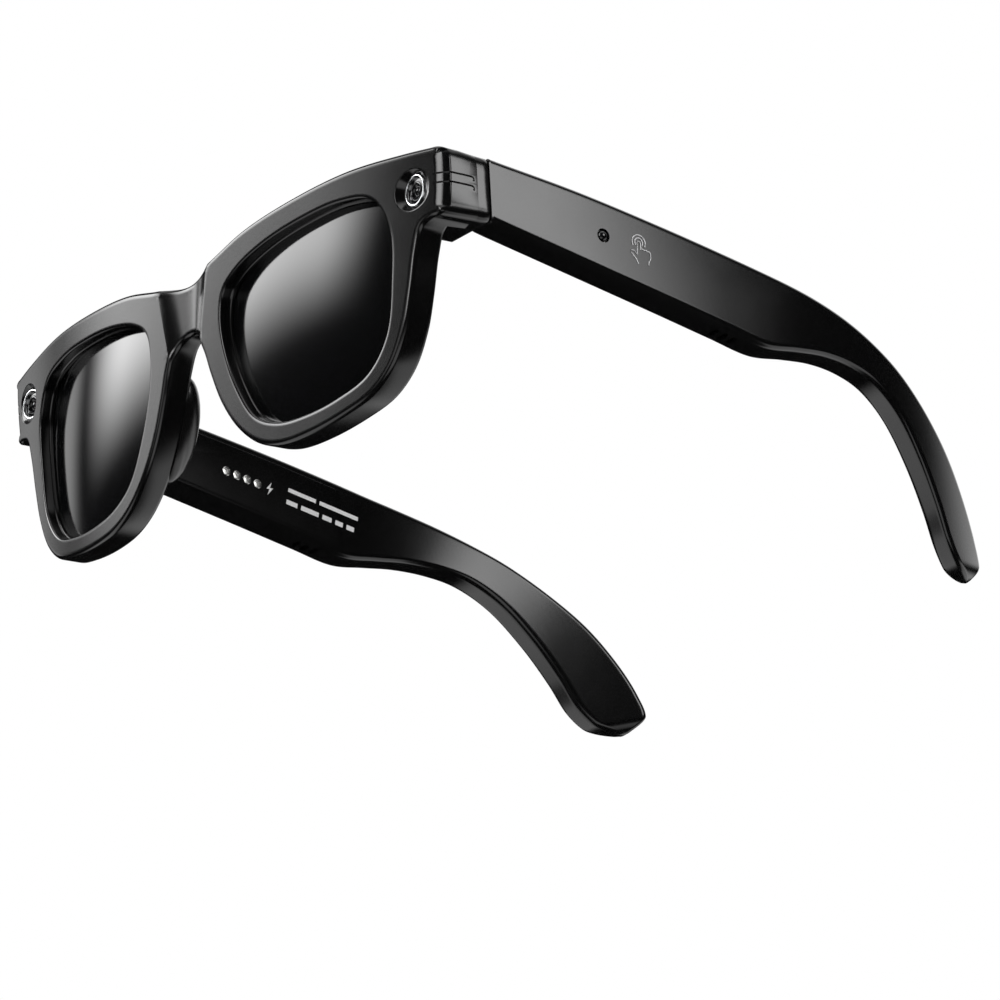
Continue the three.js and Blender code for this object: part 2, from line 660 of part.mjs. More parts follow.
// ---------------------------------------------------------------- electronics
// The bay's own frame: u runs back along the middle line of the temple, w across it, upwards.
const bayStart = { y: 22, z: middleAt(22) };
const baySlope = Math.atan2(middleAt(22) - middleAt(BAY_BACK), BAY_BACK - 22);

function bayGroup(side, meshes) {
  const group = new THREE.Group();
  group.position.set(0, bayStart.y, bayStart.z);
  group.rotation.x = -baySlope;
  for (const mesh of meshes) {
    if (side < 0) mesh.geometry = flipped(mesh.geometry);
    group.add(mesh);
  }
  return group;
}

const coverBack = innerX + INNER_COVER + FIT;
const boardX = baySkin - FIT - BOARD_THICKNESS;
const batteryThickness = boardX - CHIP_HEIGHT - 0.2 - coverBack;
const bayU = (y) => (y - bayStart.y) / Math.cos(baySlope);

function board(u, chips) {
  const base = box([boardX, boardX + BOARD_THICKNESS], u, [-3.7, 3.7]);
  const parts = chips.map(([from, to]) =>
    box([boardX - CHIP_HEIGHT, boardX + 0.2], [from, to], [-2.6, 2.6]),
  );
  return joined(base, ...parts);
}

// A pouch cell with a folded seam along one end.
function battery(u) {
  const cell = box([coverBack, coverBack + batteryThickness], u, [-3.5, 3.5]);
  const seam = box([coverBack + 0.8, coverBack + 1.2], [u[0] - 1, u[0] + 0.2], [-2.8, 2.8]);
  return joined(cell, seam);
}

function speaker() {
  const u = bayU(speakerY);
  const half = SPEAKER_LENGTH / 2 - FIT;
  const can = box([coverBack, boardX + 0.5], [u - half, u + half], [-3.7, 3.4]);
  const nozzle = box([coverBack + 1, coverBack + 2.4], [u - half + 2, u + half - 2], [-4.1, -3.6]);
  return joined(can, nozzle);
}

function microphone() {
  const u = bayU(microphoneY);
  return box([middleX - 0.9, middleX + 0.9], [u - 1.4, u + 1.4], [-3.6, -2.6]);
}

// Flat cable from the hinge to the board, with a step where it meets the board.
function bayCable(toU) {
  const strip = box([boardX - 0.6, boardX - 0.6 + CABLE_THICKNESS], [0.4, toU - FIT], [-1.6, 1.6]);
  const plug = box([boardX - 0.9, boardX + 0.3], [toU - 2, toU - FIT], [-1.8, 1.8]);
  return joined(strip, plug);
}

const contactY = (index) => CONTACT_Y + index * CONTACT_PITCH;
const magnetY = [CONTACT_Y - MAGNET_OFFSET, contactY(CONTACTS - 1) + MAGNET_OFFSET];
const alongX = (profile, y, sides = 14) =>
  turned(profile, sides).rotateZ(-Math.PI / 2).translate(innerX, y, middleAt(y));

const contact = (index) =>
  alongX([
    [0, 0.05], [CONTACT_R - 0.15, 0.05], [CONTACT_R, 0.2], [CONTACT_R, INNER_COVER + 0.2],
    [CONTACT_R / 2, INNER_COVER + 0.2], [CONTACT_R / 2, boardX - FIT - innerX], [0, boardX - FIT - innerX],
  ], contactY(index));
const contactHole = (index) =>
  alongX([[0, -1], [CONTACT_R + 0.1, -1], [CONTACT_R + 0.1, 3], [0, 3]], contactY(index));
const magnet = (y) =>
  alongX([
    [0, INNER_COVER + FIT], [MAGNET_R, INNER_COVER + FIT], [MAGNET_R, INNER_COVER + FIT + 1.1],
    [0, INNER_COVER + FIT + 1.1],
  ], y);

// Where the boards and cells begin and end, along the bay: behind the hinge leaf on the left,
// behind the button's switch on the right, and in front of the speaker.
const boardStart = LEAF_LENGTH + 1.8;
const mainBoardStart = bayU(BUTTON_Y) + BUTTON_LENGTH / 2 + 1.7;
const bayEnd = bayU(speakerY) - SPEAKER_LENGTH / 2 - 3.1;
const magnetFront = bayU(magnetY[0]) - MAGNET_R - 0.6;

// ---------------------------------------------------------------- assembly
const contactIndexes = Array.from({ length: CONTACTS }, (_, index) => index);
const group = (...parts) => new THREE.Group().add(...parts);

const frontCable = () =>
  wrapped(browStrip([...BROW_LINE, CABLE_END], CABLE_HEIGHT, cableFront, cableBack));
const browCover = () => wrapped(browStrip(BROW_LINE, COVER_HEIGHT, coverFront, FRONT_DEPTH));

const front = group(
  piece("front_rim", frontRim(), frameBlack),
  piece("brow_cover", browCover(), frameBlack),
  piece("front_cable", frontCable(), cableAmber),
  ...bothSides("lens", lens(), lensTint),
  ...bothSides("nose_pad", nosePad(), rubberBlack),
  ...bothSides("camera_ring", cameraRing(), polishedSteel),
  ...bothSides("camera_window", cameraWindow(), windowBlack),
  ...bothSides("camera_module", cameraModule(), windowBlack),
  ...bothSides("front_hinge", frontHinge(), brushedSteel),
  ...bothSides("hinge_pin", hingePin(), brushedSteel),
);

const leftTemple = group(
  piece("left_temple_shell", templeShell([microphoneHole, ...soundSlots, domeCut()]), frameBlack),
  piece("left_inner_cover", innerCover(), frameBlack),
  piece("left_temple_hinge", templeHinge(), brushedSteel),
  piece("status_dome", statusDome(), windowBlack),
  bayGroup(1, [
    piece("touch_strip", box([baySkin - 0.25, baySkin - 0.05], [27, 42], [-3.4, 3.4]), gold),
    piece("left_board", board([boardStart, bayEnd], [[15, 20], [35, 42]]), boardGreen),
    piece("left_battery", battery([boardStart + 2, bayEnd - 1]), cellSilver),
    piece("left_speaker", speaker(), windowBlack),
    piece("left_microphone", microphone(), polishedSteel),
    piece("left_cable", bayCable(boardStart), cableAmber),
  ]),
);

const rightShell = () => flipped(templeShell([microphoneHole, ...soundSlots, buttonSlot()]));
const rightTemple = group(
  piece("right_temple_shell", rightShell(), frameBlack),
  piece("right_inner_cover", flipped(innerCover(contactIndexes.map(contactHole))), frameBlack),
  piece("right_temple_hinge", flipped(templeHinge()), brushedSteel),
  piece("button_switch", flipped(buttonSwitch()), polishedSteel),
  ...contactIndexes.map((index) =>
    piece("charge_contact_" + (index + 1), flipped(contact(index)), polishedSteel),
  ),
  ...magnetY.map((y, index) =>
    piece("charge_magnet_" + (index + 1), flipped(magnet(y)), cellSilver),
  ),
  bayGroup(-1, [
    piece("main_board", board([mainBoardStart, bayEnd], [[20, 27]]), boardGreen),
    piece("right_battery", battery([mainBoardStart + 1, magnetFront]), cellSilver),
    piece("right_speaker", speaker(), windowBlack),
    piece("right_microphone", microphone(), polishedSteel),
    piece("right_cable", bayCable(mainBoardStart), cableAmber),
  ]),
);
const button = piece("capture_button", flipped(captureButton()), frameBlack);

// ---------------------------------------------------------------- standing on a surface
// The lowest point of a set of meshes once they lean forward by an angle.
function lowest(meshes, lean) {
  const point = new THREE.Vector3();
  let low = Infinity;
  for (const mesh of meshes) {
    const place = mesh.geometry.attributes.position;
    for (let i = 0; i < place.count; i++) {
      point.fromBufferAttribute(place, i);
      low = Math.min(low, point.y * Math.sin(lean) + point.z * Math.cos(lean));
    }
  }
  return low;
}

// The lean at which rims and temple tips touch the surface together.
function standingLean() {
  const rims = [front.getObjectByName("front_rim")];
  const tips = [leftTemple.getObjectByName("left_temple_shell")];
  let [low, high] = [0, Math.PI / 6];
  while (high - low > 1e-6) {
    const lean = (low + high) / 2;
    if (lowest(tips, lean) < lowest(rims, lean)) low = lean;
    else high = lean;
  }
  return low;
}

const glasses = group(front, leftTemple, rightTemple, button);
glasses.rotation.x = standingLean();
const bounds = new THREE.Box3().setFromObject(glasses, true);
const middle = bounds.getCenter(new THREE.Vector3());
glasses.position.set(-middle.x, -middle.y, -bounds.min.z);

export default group(glasses);
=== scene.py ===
# %% [markdown]
# # Camera glasses
# A thick glossy plastic front with two tinted lenses and two small cameras, and two folding
# temples that hide the batteries and boards. The exact solids, joints and sizes come from a
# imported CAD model, which is loaded first and never moved. Everything below gives that model
# its looks: smooth casings, curved lenses, polished rings, printed marks, finishes and light.

# %% Load the frame
import json
import math

import bmesh
import bpy
import numpy as np
from mathutils import Matrix, Vector
from mathutils.geometry import delaunay_2d_cdt


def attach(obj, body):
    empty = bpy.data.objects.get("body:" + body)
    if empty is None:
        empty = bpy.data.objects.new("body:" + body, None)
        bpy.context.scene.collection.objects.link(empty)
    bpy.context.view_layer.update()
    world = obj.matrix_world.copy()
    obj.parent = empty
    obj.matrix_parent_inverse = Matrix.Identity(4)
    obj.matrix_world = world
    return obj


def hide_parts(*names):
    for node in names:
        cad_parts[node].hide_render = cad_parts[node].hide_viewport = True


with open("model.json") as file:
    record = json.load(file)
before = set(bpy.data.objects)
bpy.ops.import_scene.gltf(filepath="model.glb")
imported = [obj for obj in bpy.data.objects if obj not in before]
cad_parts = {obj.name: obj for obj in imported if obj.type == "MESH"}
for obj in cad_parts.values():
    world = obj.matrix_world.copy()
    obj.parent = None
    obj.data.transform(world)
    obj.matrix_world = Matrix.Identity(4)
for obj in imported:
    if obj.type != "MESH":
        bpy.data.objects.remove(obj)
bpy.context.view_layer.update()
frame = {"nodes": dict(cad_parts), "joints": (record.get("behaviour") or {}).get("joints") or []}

# %% [markdown]
# ## One drawing frame
# On the real product the front is drawn in its own plane: X across the face, Y back along the
# temples, Z up, in millimetres. The finished glasses lean forward a little, so that rims and
# tips stand on a table. The lean could be typed in again, but then it could drift from the CAD.
# It is read from the hinge instead: its axis is the drawing's Z axis, and its pivot is a known
# point of the drawing. One matrix then takes every drawn point to its place.

# %% From the drawing to the object
HINGE_X, HINGE_Y, HINGE_Z = 65.4, 19.65, 38
fold = next(j for j in frame["joints"] if j["name"] == "left_fold")
lean = math.atan2(-fold["axis"][1], fold["axis"][2])
METRES_PER_MM = 0.001
turn = Matrix.Rotation(lean, 4, "X") @ Matrix.Scale(METRES_PER_MM, 4)
pivot = turn @ Vector((HINGE_X, HINGE_Y, HINGE_Z))
PLACE = Matrix.Translation(Vector(fold["pos_m"]) - pivot) @ turn
print("the glasses lean forward by", round(math.degrees(lean), 2), "degrees")

# %% [markdown]
# ## Mould plastic and its relatives
# Injection-moulded black plastic is never one flat colour: the mould leaves a very fine pebble,
# the gloss changes a little from place to place, and handling adds faint haze. An image texture
# could carry that, but noise nodes do it at any zoom with no file. Each finish is a Principled
# shader whose roughness and bump come from noise, so the finishes share one small builder.

# %% A builder for finishes
PEBBLES_PER_CLOUD, PEBBLE_HEIGHT = 12, 0.0002


def finish(name, color, roughness, spread=0.04, grain=300, bump=0.02, **sockets):
    """A finish whose gloss drifts in clouds, by the spread, over a fine pebbled relief."""
    made = bpy.data.materials.new(name)
    made.use_nodes = True
    nodes, links = made.node_tree.nodes, made.node_tree.links
    shader = nodes["Principled BSDF"]
    shader.inputs["Base Color"].default_value = (*color, 1)
    for socket, value in sockets.items():
        shader.inputs[socket.replace("_", " ")].default_value = value
    where = nodes.new("ShaderNodeTexCoord")
    cloud = nodes.new("ShaderNodeTexNoise")
    cloud.inputs["Scale"].default_value = grain
    cloud.inputs["Detail"].default_value = 4
    links.new(where.outputs["Object"], cloud.inputs["Vector"])
    gloss = nodes.new("ShaderNodeMapRange")
    gloss.inputs["To Min"].default_value = max(0, roughness - spread)
    gloss.inputs["To Max"].default_value = roughness + spread
    links.new(cloud.outputs["Fac"], gloss.inputs["Value"])
    links.new(gloss.outputs["Result"], shader.inputs["Roughness"])
    pebble = nodes.new("ShaderNodeTexNoise")
    pebble.inputs["Scale"].default_value = grain * PEBBLES_PER_CLOUD
    links.new(where.outputs["Object"], pebble.inputs["Vector"])
    relief = nodes.new("ShaderNodeBump")
    relief.inputs["Strength"].default_value = bump
    relief.inputs["Distance"].default_value = PEBBLE_HEIGHT
    links.new(pebble.outputs["Fac"], relief.inputs["Height"])
    links.new(relief.outputs["Normal"], shader.inputs["Normal"])
    return made


def patterned(made, texture, colors, scale, **settings):
    """Colours a finish by a texture, from the first colour to the last."""
    nodes, links = made.node_tree.nodes, made.node_tree.links
    pattern = nodes.new(texture)
    pattern.inputs["Scale"].default_value = scale
    for key, value in settings.items():
        setattr(pattern, key, value)
    ramp = nodes.new("ShaderNodeValToRGB")
    for element, color in zip(ramp.color_ramp.elements, colors):
        element.color = (*color, 1)
    where = next(n for n in nodes if n.type == "TEX_COORD")
    links.new(where.outputs["Object"], pattern.inputs["Vector"])
    links.new(pattern.outputs[0], ramp.inputs["Fac"])
    links.new(ramp.outputs["Color"], nodes["Principled BSDF"].inputs["Base Color"])
    return made


frame_black = finish("frame_black", (0.0025, 0.0025, 0.0026), 0.17, 0.03, 120, 0.012)
pad_black = finish("pad_black", (0.003, 0.003, 0.003), 0.2, 0.04, 200, 0.02)
lens_tint = finish("lens_tint", (0.002, 0.0021, 0.0023), 0.09, 0.02, 40, 0.0)
ring_steel = finish("ring_steel", (0.78, 0.79, 0.8), 0.16, 0.04, 500, 0.02, Metallic=1.0)
window_black = finish("window_black", (0.003, 0.003, 0.0035), 0.06, 0.02, 300, 0.0)
print("made", len(bpy.data.materials), "materials so far")

# %% [markdown]
# The pieces that only show when the glasses are opened up get their own finishes too: steel
# hinge parts with fine brushing, green laminate, amber flat cable, crinkled foil on the cells,
# gold on the touch strip, and magnets with a nickel skin.

# %% Finishes inside
hinge_steel = finish("hinge_steel", (0.42, 0.43, 0.44), 0.32, 0.08, 900, 0.1, Metallic=1.0)
contact_silver = finish("contact_silver", (0.72, 0.72, 0.7), 0.25, 0.06, 1500, 0.05, Metallic=1.0)
dark_part = finish("dark_part", (0.02, 0.02, 0.022), 0.45, 0.08, 700, 0.08)
laminate = patterned(
    finish("laminate", (0.01, 0.06, 0.03), 0.42, 0.08, 400, 0.05),
    "ShaderNodeTexVoronoi", [(0.004, 0.035, 0.018), (0.02, 0.11, 0.055)], 700,
    distance="CHEBYCHEV",
)
flat_cable = patterned(
    finish("flat_cable", (0.45, 0.12, 0.02), 0.35, 0.05, 300, 0.04),
    "ShaderNodeTexWave", [(0.5, 0.15, 0.02), (0.22, 0.06, 0.012)], 900, bands_direction="Z",
)
foil = patterned(
    finish("foil", (0.5, 0.51, 0.53), 0.33, 0.12, 260, 0.4, Metallic=0.8),
    "ShaderNodeTexNoise", [(0.36, 0.37, 0.39), (0.62, 0.63, 0.65)], 120,
)
nickel = finish("nickel", (0.6, 0.58, 0.53), 0.2, 0.05, 600, 0.03, Metallic=1.0)
gold = patterned(
    finish("gold", (0.75, 0.5, 0.2), 0.28, 0.08, 500, 0.03, Metallic=1.0),
    "ShaderNodeTexWave", [(0.78, 0.55, 0.25), (0.4, 0.22, 0.07)], 260, bands_direction="Y",
)
mark_grey = finish("mark_grey", (0.62, 0.62, 0.63), 0.6, 0.08, 900, 0.05)
mark_white = finish("mark_white", (0.7, 0.7, 0.7), 0.5, 0.08, 900, 0.05)
print("materials in all:", len(bpy.data.materials))

# %% [markdown]
# ## Curves through known points
# The outline of the rims is a free curve. It could be traced as Bezier handles, but a curve
# that passes through a few measured points is easier to read and to change. A centripetal
# Catmull-Rom curve does that without overshooting where points crowd together at a corner.

# %% Smooth curves and offsets
def smooth(points, closed=False, steps=8):
    """Points along a centripetal Catmull-Rom curve, with this many steps to a span."""
    knots = [np.array(p, float) for p in points]
    if closed:
        knots = [knots[-1], *knots, knots[0], knots[1]]
    else:
        knots = [2 * knots[0] - knots[1], *knots, 2 * knots[-1] - knots[-2]]
    line = []
    for a, b, c, d in zip(knots, knots[1:], knots[2:], knots[3:]):
        before, here, after = [np.linalg.norm(q - p) ** 0.5 for p, q in ((a, b), (b, c), (c, d))]
        start = here * ((b - a) / before - (c - a) / (before + here)) + (c - b)
        end = (c - b) - here * ((d - b) / (here + after) - (d - c) / after)
        for t in np.arange(steps) / steps:
            cubic = (2 * t**3 - 3 * t**2 + 1) * b + (t**3 - 2 * t**2 + t) * start
            line.append(cubic + (3 * t**2 - 2 * t**3) * c + (t**3 - t**2) * end)
    return np.array(line if closed else [*line, knots[-2]])


def outward(loop):
    """The outward direction at each point of a closed flat loop."""
    along = np.roll(loop, -1, 0) - np.roll(loop, 1, 0)
    along /= np.linalg.norm(along, axis=1)[:, None]
    x, z = loop.T
    area = np.sum(x * np.roll(z, -1) - np.roll(x, -1) * z)
    return np.stack([along[:, 1], -along[:, 0]], 1) * (1 if area > 0 else -1)


def ease(t):
    """From nothing to one, with a soft start and end."""
    t = np.clip(t, 0, 1)
    return t * t * (3 - 2 * t)


def full_turn(sides):
    """Even angles all the way round."""
    return np.arange(sides) / sides * 2 * math.pi


corner = smooth([(0, 0), (1, 0), (1, 1)])
print("a curve through three points has", len(corner), "points")


# %% [markdown]
# ## From points to pieces
# Every casing here is made of rings of points joined by quads, so one function turns rings into
# a closed mesh. Another places a mesh, gives it its finish, marks edges over a certain angle as
# sharp, says which moving body it rides on, and hides the CAD nodes it stands for.

# %% Rings to meshes, and meshes to pieces
def joined_rings(rings, caps=True):
    """Points and faces of a tube through the rings, closed by a face at each end."""
    count = len(rings[0])
    faces = []
    for i in range(len(rings) - 1):
        here, ahead = i * count, (i + 1) * count
        for j in range(count):
            beside = (j + 1) % count
            faces.append((here + j, here + beside, ahead + beside, ahead + j))
    if caps:
        last = (len(rings) - 1) * count
        faces += [tuple(range(count))[::-1], tuple(range(last, last + count))]
    return np.concatenate(rings), faces


def solid(name, points, faces):
    """An object from points and faces, with all its faces turned outwards."""
    mesh = bpy.data.meshes.new(name)
    mesh.from_pydata([tuple(map(float, p)) for p in points], [], faces)
    fixed = bmesh.new()
    fixed.from_mesh(mesh)
    bmesh.ops.remove_doubles(fixed, verts=fixed.verts, dist=1e-4)
    bmesh.ops.recalc_face_normals(fixed, faces=fixed.faces)
    fixed.to_mesh(mesh)
    fixed.free()
    made = bpy.data.objects.new(name, mesh)
    bpy.context.scene.collection.objects.link(made)
    return made


def carve(piece, cutter):
    """Cuts one mesh out of another, and removes the cutter."""
    tool = piece.modifiers.new("cut", "BOOLEAN")
    tool.operation, tool.solver, tool.object = "DIFFERENCE", "EXACT", cutter
    now = bpy.context.evaluated_depsgraph_get()
    piece.data = bpy.data.meshes.new_from_object(piece.evaluated_get(now))
    piece.modifiers.clear()
    bpy.data.objects.remove(cutter)


def dress(piece, body, slot, material, *nodes, sharp=32, mirror=False):
    """Places a drawn piece on the glasses, with its finish, and hands it to its body."""
    if mirror:
        piece.data.transform(Matrix.Scale(-1, 4, (1, 0, 0)))
        piece.data.flip_normals()
    piece.data.transform(PLACE)
    piece.data.materials.clear()
    piece.data.materials.append(material)
    piece.data.shade_smooth()
    piece.data.set_sharp_from_angle(angle=math.radians(sharp))
    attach(piece, body)
    if nodes:
        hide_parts(*nodes)
    return piece


print("a tube through two square rings has", len(joined_rings([np.zeros((4, 3))] * 2)[1]), "faces")

# %% [markdown]
# ## The front
# The front is one moulding: a 6 mm plate with two lens openings, bent back at its ends, with
# square end pieces behind its corners. It could be a bevelled curve, but its outer edge has a
# wide two-facet bevel at the ends and a small round elsewhere, and the bridge is scooped out.
# So its outline is offset inwards ring by ring, and the flat faces are filled with a mesh of
# even triangles that can be bent and scooped like a sheet.

# %% Outline of the front
HALF_WIDTH, WRAP, DEPTH, SEAM = 74, 9, 6, 19.5
EDGE = [
    (0, 41.3), (8.6, 42.8), (20, 45.6), (34, 47.2), (50, 47.9), (64, 46.9), (70.6, 46.2),
    (72.3, 46), (73.3, 45.5), (73.8, 44.6), (74, 43), (74, 41), (73.8, 37.5), (73.5, 35),
    (73.3, 33.8), (72.8, 33), (71.9, 32.7), (70.2, 32.6), (67.9, 31.6), (66.3, 27.5), (64.6, 20),
    (62.7, 13.5),
    (59.2, 7.2), (54, 3.1), (46, 1), (36, 0), (28, 0.5), (21.5, 2.9), (15.5, 7.8), (11, 14),
    (8, 20.5), (5.9, 26), (3.2, 30.2), (0, 31.2),
]
OPENING = [
    (12.2, 30.5), (13.4, 35.4), (17.5, 38.3), (25, 40.6), (36, 42.1), (48, 42.3), (56, 40.2),
    (60.1, 33.5), (60, 23), (58, 13), (53, 7.2), (45, 4.8), (36, 4.1), (28, 5), (21.5, 8.2),
    (16.3, 15.7), (13, 24.3),
]
outline = smooth(EDGE + [(-x, z) for x, z in EDGE[-2:0:-1]], closed=True)
opening = smooth(OPENING, closed=True, steps=10)
print("outline:", len(outline), "points; opening:", len(opening))


def wrap_at(x):
    """How far back the bent face lies, this far from the middle."""
    return WRAP * (x / HALF_WIDTH) ** 2


# %% [markdown]
# ### The bridge
# Between the rims the front face drops back behind a crease on each side, and the hollow is
# smooth from crease to crease. The depth of the hollow is a function of where you are in the
# plane of the front, which the filled faces then follow.

# %% Depth of the hollow in the bridge
BRIDGE_DEPTH, BRIDGE_FROM, BRIDGE_POWER = 1.7, 24, 2.2
CREASE_LOW, CREASE_HIGH = (5.6, 29), (8.7, 43)


def crease_at(z):
    """How far from the middle the creases run, at a height."""
    share = (z - CREASE_LOW[1]) / (CREASE_HIGH[1] - CREASE_LOW[1])
    return CREASE_LOW[0] + (CREASE_HIGH[0] - CREASE_LOW[0]) * share


def hollow(x, z):
    inside = np.clip(1 - abs(x) / crease_at(z), 0, 1) * (z > BRIDGE_FROM)
    return BRIDGE_DEPTH * (1 - (1 - inside) ** BRIDGE_POWER)


def face_y(x, z):
    return wrap_at(x) + hollow(x, z)


print("the bridge drops back", BRIDGE_DEPTH, "mm, between creases", 2 * CREASE_HIGH[0], "mm apart")

# %% [markdown]
# ### Filling the flat faces
# A face with holes could be one big polygon, but it would stay flat when the front is bent.
# A Delaunay fill takes the loops as fixed edges and a grid of points between them, so every
# triangle is small. Triangles whose middle lies in a hole are left out.

# %% Delaunay fill
def inside_loop(points, loop):
    """True for each point inside a closed loop: a line to one side crosses it an odd time."""
    x, z = points.T
    within = np.zeros(len(points), bool)
    for (ax, az), (bx, bz) in zip(loop, np.roll(loop, -1, 0)):
        crosses = (az > z) != (bz > z)
        within ^= crosses & (x < (bx - ax) * (z - az) / (bz - az + 1e-12) + ax)
    return within


def filled(loops, extra):
    """Flat points and triangles between the first loop and the others, which are holes."""
    flat = np.concatenate([*loops, extra])
    edges, start = [], 0
    for loop in loops:
        count = len(loop)
        edges += [(start + i, start + (i + 1) % count) for i in range(count)]
        start += count
    found = delaunay_2d_cdt([Vector(p) for p in flat], edges, [], 1, 1e-5)
    points = np.array([tuple(p) for p in found[0]])
    triangles = np.array(found[2])
    middle = points[triangles].mean(1)
    keep = inside_loop(middle, loops[0])
    for loop in loops[1:]:
        keep &= ~inside_loop(middle, loop)
    return points, triangles[keep]


def spread(loops, pitch, clear):
    """A staggered grid of points inside the first loop, clear of all loops by a distance."""
    low, high = loops[0].min(0), loops[0].max(0)
    rows = np.arange(low[1], high[1], pitch)
    grid = np.array([
        (x + (i % 2) * pitch / 2, z)
        for i, z in enumerate(rows)
        for x in np.arange(low[0], high[0], pitch)
    ])
    grid = grid[inside_loop(grid, loops[0])]
    for loop in loops[1:]:
        grid = grid[~inside_loop(grid, loop)]
    edge = np.concatenate(loops)
    near = np.array([np.min(np.sum((edge - p) ** 2, 1)) for p in grid])
    return grid[near > clear**2]


square = np.array([(0, 0), (4, 0), (4, 4), (0, 4)], float)
print("a 4 mm square gets", len(filled([square], spread([square], 1, 0.4))[1]), "triangles")

# %% [markdown]
# ### Edges of the front
# Seen close up, the front edge is a small round of just under a millimetre all the way round,
# but down the outer ends it becomes a bevel of two flat facets, over two millimetres wide. Each
# edge is a list of steps inwards and backwards, and the two lists are mixed by height.

# %% Edge profiles
def quarter(radius, steps=6):
    """Steps (inwards, backwards) round a quarter circle, from the face to the side."""
    angles = np.radians(np.linspace(90, 0, steps + 1))
    return [(radius - radius * math.cos(a), radius - radius * math.sin(a)) for a in angles]


ROUND = quarter(0.9)
FACETS = [
    (1.95, 0), (1.78, 0.05), (0.8, 0.62), (0.62, 0.8), (0.14, 1.45), (0.04, 1.62), (0, 1.9),
]
FACET_X, FACET_LOW, FACET_HIGH = 72.2, 33, 46.2
END_X, END_LOW, END_BACK = 61.2, 32.2, 16.8
out_x, out_z = np.abs(outline[:, 0]), outline[:, 1]
at_end = ease((out_x - FACET_X) / 1.2) * ease((out_z - FACET_LOW) / 1.5)
at_end *= ease((FACET_HIGH - out_z) / 1.2)
in_end = ease((out_x - END_X) / 1.4) * (out_z > END_LOW)
edge_normal = outward(outline)


def outer_ring(inset, depth, from_back=False):
    """A ring of the outer edge. Inset and depth are numbers, or one for each outline point."""
    flat = outline - edge_normal * np.reshape(inset, (-1, 1))
    x, z = flat.T
    back = wrap_at(x) + DEPTH + (END_BACK - wrap_at(x) - DEPTH) * in_end
    y = back - depth if from_back else face_y(x, z) + depth
    return np.stack([x, y, z], 1)


def front_edge():
    """All rings of the outer edge, from the front face round to the back."""
    rings = []
    for (a, b), (c, d) in zip([(1.25, 0), *ROUND], [(2.3, 0), *FACETS]):
        rings.append(outer_ring(a + (c - a) * at_end, b + (d - b) * at_end))
    soft = (1 - in_end) + 0.05
    for a, b in reversed([(1.3, 0), *quarter(1)]):
        rings.append(outer_ring(a * soft, b * soft, from_back=True))
    return rings


print("facets at", int(np.sum(at_end > 0.5)), "of", len(outline), "points of the outline")

# %% [markdown]
# ### Lens openings
# Each opening has a small rounded lip, a straight wall, and near the lens a fine step that
# catches the light. Behind it a groove holds the lens. The same ring idea works, this time
# with the rings moving outwards into the plastic.

# %% Rings of an opening
lens_normal = outward(opening)
LIP = [
    (0.85, 0), *quarter(0.5, 4), (0, 2.0), (-0.12, 2.2), (-0.3, 2.3),
    (-0.3, 2.8), (0.9, 2.85), (0.9, 5.25), (-0.2, 5.3),
]


def opening_ring(outwards, depth, side):
    """The opening's outline, grown outwards by a step and set behind the face."""
    flat = (opening + lens_normal * outwards) * (side, 1)
    x, z = flat.T
    return np.stack([x, wrap_at(x) + depth, z], 1)


def opening_rings(side):
    rings = [opening_ring(a, b, side) for a, b in LIP]
    back_lip = reversed(quarter(0.6, 4))
    return rings + [opening_ring(a - 0.2, DEPTH - b, side) for a, b in back_lip]


print("each opening has", len(opening_rings(1)), "rings")

# %% [markdown]
# ### Camera recesses
# Both cameras look straight ahead, although the face slants back at its ends. So the recess is
# a cone about the camera's axis whose wide edge lies on the slanting face, a little wider than
# it is high. That edge becomes one more loop of the face. A few rings round it still lie on the
# face, so that the shading stays flat right up to the edge.

# %% Camera places
CAMERA_X, CAMERA_Z = 66.2, 39.1
MOUTH_WIDE, MOUTH_HIGH, MOUTH_DEPTH, MOUTH_SIDES = 4.15, 3.9, 1.0, 48
MOUTH_STEPS = [(0.5, 0), (0.3, 0), (0.12, 0), (0.06, 0.03), (0, 0.1)]
SEAT, SEAT_DEPTH = 3.15, 3.4
CAMERA = Matrix.Translation((CAMERA_X, wrap_at(CAMERA_X), CAMERA_Z))


def round_ring(radius, depth, sides=MOUTH_SIDES, place=CAMERA):
    """A ring about a local Y axis, which a matrix takes to its place."""
    return np.array([
        place @ Vector((radius * math.cos(t), depth, radius * math.sin(t)))
        for t in full_turn(sides)
    ])


def camera_rings(side):
    """The rings of a recess, from the face round it down to its seat."""
    turns = full_turn(MOUTH_SIDES)
    rings = []
    for grow, depth in MOUTH_STEPS:
        x = CAMERA_X + (MOUTH_WIDE + grow) * np.cos(turns)
        z = CAMERA_Z + (MOUTH_HIGH + grow) * np.sin(turns)
        rings.append(np.stack([x, wrap_at(x) + depth, z], 1))
    cone = ((SEAT + 0.06, MOUTH_DEPTH), (SEAT, MOUTH_DEPTH + 0.1), (SEAT, SEAT_DEPTH))
    rings += [round_ring(radius, depth) for radius, depth in cone]
    return [ring * (side, 1, 1) for ring in rings]


face_slant = math.degrees(math.atan(2 * wrap_at(CAMERA_X) / CAMERA_X))
print("at the cameras the face slants", round(face_slant, 1), "degrees")

# %% [markdown]
# ### One moulding
# The rings and the filled faces share their edge points, so the whole front can be put together
# as one mesh. Behind the face its ends are wider and higher than the temples that follow. They
# could meet in a step, but the real parts run on smoothly, so every point there is drawn in a
# little on its way to the seam.

# %% Put the front together
SIDE_X, TAPER_FROM, TAPER_INNER_X = 73.6, 11, 60.3


def end_side(z):
    """How far out the end of the moulding reaches, at a height."""
    return np.interp(z, (35, 37.5, 41), (73.5, 73.8, 74))


